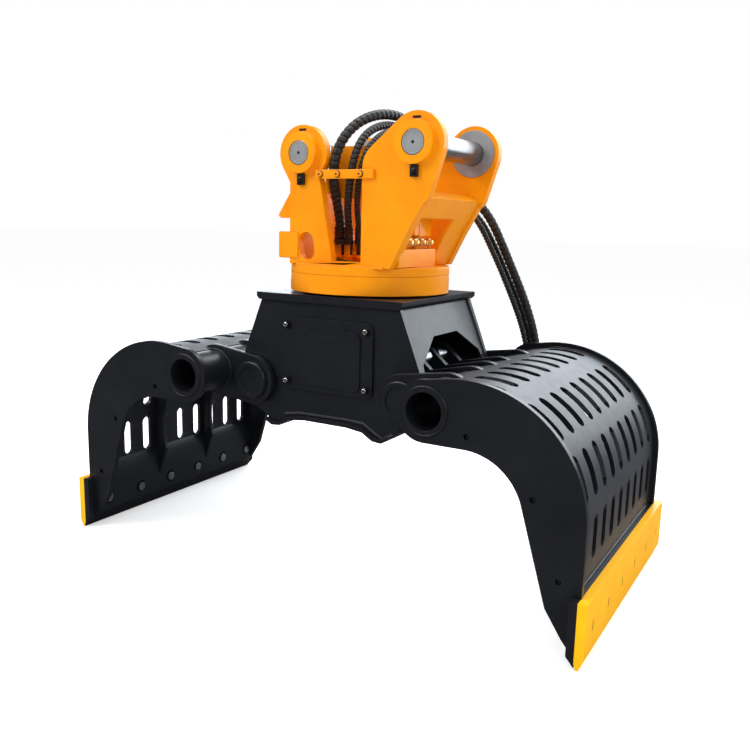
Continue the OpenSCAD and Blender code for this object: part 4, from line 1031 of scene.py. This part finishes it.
def ribbon(line, width, y_near, y_far):
    """A flat bar along a line in the XZ plane: its four edges are the line moved half the width
    to either side, at two depths."""
    line = np.asarray(line, float)
    t = unit(np.gradient(line, axis=0))
    side = np.stack([-t[:, 1], t[:, 0]], axis=1) * width / 2
    edges = [np.column_stack([line[:, 0] + k * side[:, 0], np.full(len(line), y),
                              line[:, 1] + k * side[:, 1]])
             for k, y in ((1, y_near), (1, y_far), (-1, y_far), (-1, y_near))]
    return capped(np.stack(edges, axis=1))


band, guard = Parts(), Parts()
for way in FRONT_AND_REAR:
    points, faces = ribbon(BAND, BAND_WIDTH, way * BAND_NEAR, way * BAND_FAR)
    band.add(points, faces if way > 0 else [f[::-1] for f in faces])
guard.add(*block(*GUARD_PLATE))
# The band's lighter black is a painted highlight along the lower edge of the housing.
band.piece("belly_band", BAND_BLACK_PAINTED_HIGHLIGHT, "housing", smooth=False, rounding=0.0012)
guard.piece("guard_plate", ORANGE, "bracket", smooth=False, rounding=0.0015)

# %% Housing welds
FACE_Y, TOP_LOW = -side_of("front_plate", LOW, Y), side_of("top_plate", LOW, Z)
TOP_SEAM_X, END_SEAM_Y = .272, .2555
END_SEAM = [(.2720, .915), (.3520, .705)]
housing_welds = Parts()
for way in FRONT_AND_REAR:
    top = [(x, way * FACE_Y, TOP_LOW) for x in (-TOP_SEAM_X, TOP_SEAM_X)]
    housing_welds.add(*seam(top, radius=0.0045, hint=ALONG_Z))
    for sign in (-1, 1):
        points = [(sign * x, way * END_SEAM_Y, z) for x, z in END_SEAM]
        housing_welds.add(*seam(points, radius=0.0040, hint=ALONG_Y))
housing_welds.piece("housing_welds", BLACK, "housing")

# %% Jaw welds
TUBE_X, TUBE_Z = (round(MOUNTS["right_tube_bore"][axis], 3) for axis in (X, Z))
TUBE_SEAM_R = 0.073
PLATE_OUT = side_of("right_side_plates", HIGH, Y)
ARM_OUT = side_of("right_outer_arms", HIGH, Y)
SHELL_X, SHELL_Y = ARC_X + SHELL_R, side_of("right_shell", HIGH, Y)
SIDE_FOOT, SHELL_FOOT = 0.200, 0.196
SHELL_SEAM_FROM = 98
arc = np.radians(np.linspace(SHELL_SEAM_FROM, 0, num=300))
for side, sign in SIDES.items():
    welds = Parts()
    for way in FRONT_AND_REAR:
        for y in (PLATE_OUT, ARM_OUT):
            welds.add(*ring_seam(sign * TUBE_X, way * y, TUBE_Z, TUBE_SEAM_R, radius=0.0046))
        edge = np.stack([sign * (ARC_X + SHELL_R * np.cos(arc)), np.full_like(arc, way * SHELL_Y),
                         ARC_Z + SHELL_R * np.sin(arc)], axis=1)
        down = [edge[-1], (sign * SHELL_X, way * SHELL_Y, SIDE_FOOT)]
        welds.add(*seam(np.concatenate([edge, down]), radius=0.0042, hint=ALONG_Y))
    foot = [(sign * SHELL_X, y, SHELL_FOOT) for y in (-SHELL_Y, SHELL_Y)]
    welds.add(*seam(foot, radius=0.0046, hint=ALONG_Z))
    welds.piece(f"{side}_jaw_welds", BLACK, f"jaw_{side}")

# %% [markdown]
# What the hoses are
# In another scene a hose may lie another way. Here each hose made above stands for its CAD
# solid, which is hidden.

for name, (route, diameter) in HOSES.items():
    line = CENTRELINES[name]
    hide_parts(f"hose_{name}")
    print("declared", hoses[name].name)

# %% [markdown]
# Studio
# The photograph shows the grapple cut out on white. A pale floor that runs to a white world gives
# the same look, and large area lamps make the soft highlights on the paint. Reflections see both
# dark, as if black cloths hung there, because black paint would show a white room as grey haze.

# %% Floor
FLOOR = 60.0
FLOOR_WHITE, FLOOR_IN_GLOSS, FLOOR_GLOW = (0.9, 0.9, 0.9), (0.10, 0.10, 0.105), 0.42
floor_mesh = bpy.data.meshes.new("floor")
floor_mesh.from_pydata([(-FLOOR, -FLOOR, 0), (FLOOR, -FLOOR, 0), (FLOOR, FLOOR, 0),
                        (-FLOOR, FLOOR, 0)], [], [(0, 1, 2, 3)])
floor = new_object("floor", floor_mesh)
floor_material, tree, shader = new_material("floor")
ray = tree.nodes.new("ShaderNodeLightPath").outputs
set_shader(tree, shader, {
    "Base Color": mixed(tree, ray["Is Glossy Ray"], FLOOR_WHITE, FLOOR_IN_GLOSS),
    "Roughness": 0.9, "Specular IOR Level": 0.0, "Emission Color": (1, 1, 1, 1),
    "Emission Strength": maths(tree, "MULTIPLY", ray["Is Camera Ray"], FLOOR_GLOW)})
floor_mesh.materials.append(floor_material)
floor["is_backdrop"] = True


# %% Ground under the blades
def build_ground_level():
    """The floor's height = the lowest of zero and both blades' lowest points. An excavator lifts
    the grapple to shut it, because the blades swing 0.25 m below the place where they stand."""
    tree, geometry, result = geometry_tree("ground_level")
    level = 0.0
    for side in SIDES:
        seen = add(tree, "GeometryNodeObjectInfo", {"transform_space": "RELATIVE"},
                   Object=frame["nodes"][f"{side}_blade"])
        box = add(tree, "GeometryNodeBoundBox", Geometry=seen.outputs["Geometry"])
        level = maths(tree, "MINIMUM", split(tree, box.outputs["Min"])["Z"], level)
    shift = add(tree, "ShaderNodeCombineXYZ", Z=level).outputs["Vector"]
    moved = add(tree, "GeometryNodeTransform", Geometry=geometry, Translation=shift)
    feed(tree, result, moved.outputs["Geometry"])
    return tree


modify(floor, "ground_level", "NODES", node_group=build_ground_level())
print("the floor follows the blades")

# %% World and lamps
WORLD_DIFFUSE, WORLD_GLOSSY = 0.62, 0.16
WHITE, BLUISH = (1, 1, 1), (0.86, 0.93, 1.0)
world = bpy.data.worlds.new("studio")
bpy.context.scene.world = world
world.use_nodes = True
tree = world.node_tree
ray = tree.nodes.new("ShaderNodeLightPath").outputs
soft = ramp(tree, ray["Is Glossy Ray"], 0.0, 1.0, WORLD_DIFFUSE, WORLD_GLOSSY)
set_shader(tree, tree.nodes["Background"], {
    "Color": (*WHITE, 1), "Strength": maths(tree, "MAXIMUM", soft, ray["Is Camera Ray"])})


def area_lamp(name, place, target, size, power, colour):
    """A square lamp that faces its target."""
    lamp = new_object(name, bpy.data.lights.new(name, "AREA"))
    lamp.data.shape = "SQUARE"
    lamp.data.size = size
    lamp.data.energy = power
    lamp.data.color = colour
    lamp.visible_camera = False
    back = unit(np.array(place) - np.array(target))
    side = unit(np.cross((0, 0, 1), back))
    put_at(lamp, place, (side, np.cross(back, side), back))
    print("lamp", name, power, "W")


area_lamp("key", (-2.6, -3.4, 4.2), (0, 0, 0.8), size=2.4, power=140, colour=WHITE)
area_lamp("side", (4.2, -1.6, 2.6), (0.2, 0, 0.8), size=2.0, power=40, colour=WHITE)
area_lamp("top", (0.3, 0.4, 5.0), (0, 0, 0), size=3.0, power=150, colour=WHITE)
area_lamp("rear", (1.1, 4.2, 2.9), (0.5, 0, 0.7), size=4.4, power=260, colour=BLUISH)
area_lamp("rear_left", (-3.4, 3.8, 1.7), (-0.6, 0, 0.7), size=2.2, power=60, colour=BLUISH)
bpy.context.scene.view_settings.view_transform = "Standard"

# %% Sizes, and the end
low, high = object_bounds()
print("visual box", [round(v, 3) for v in low], [round(v, 3) for v in high])
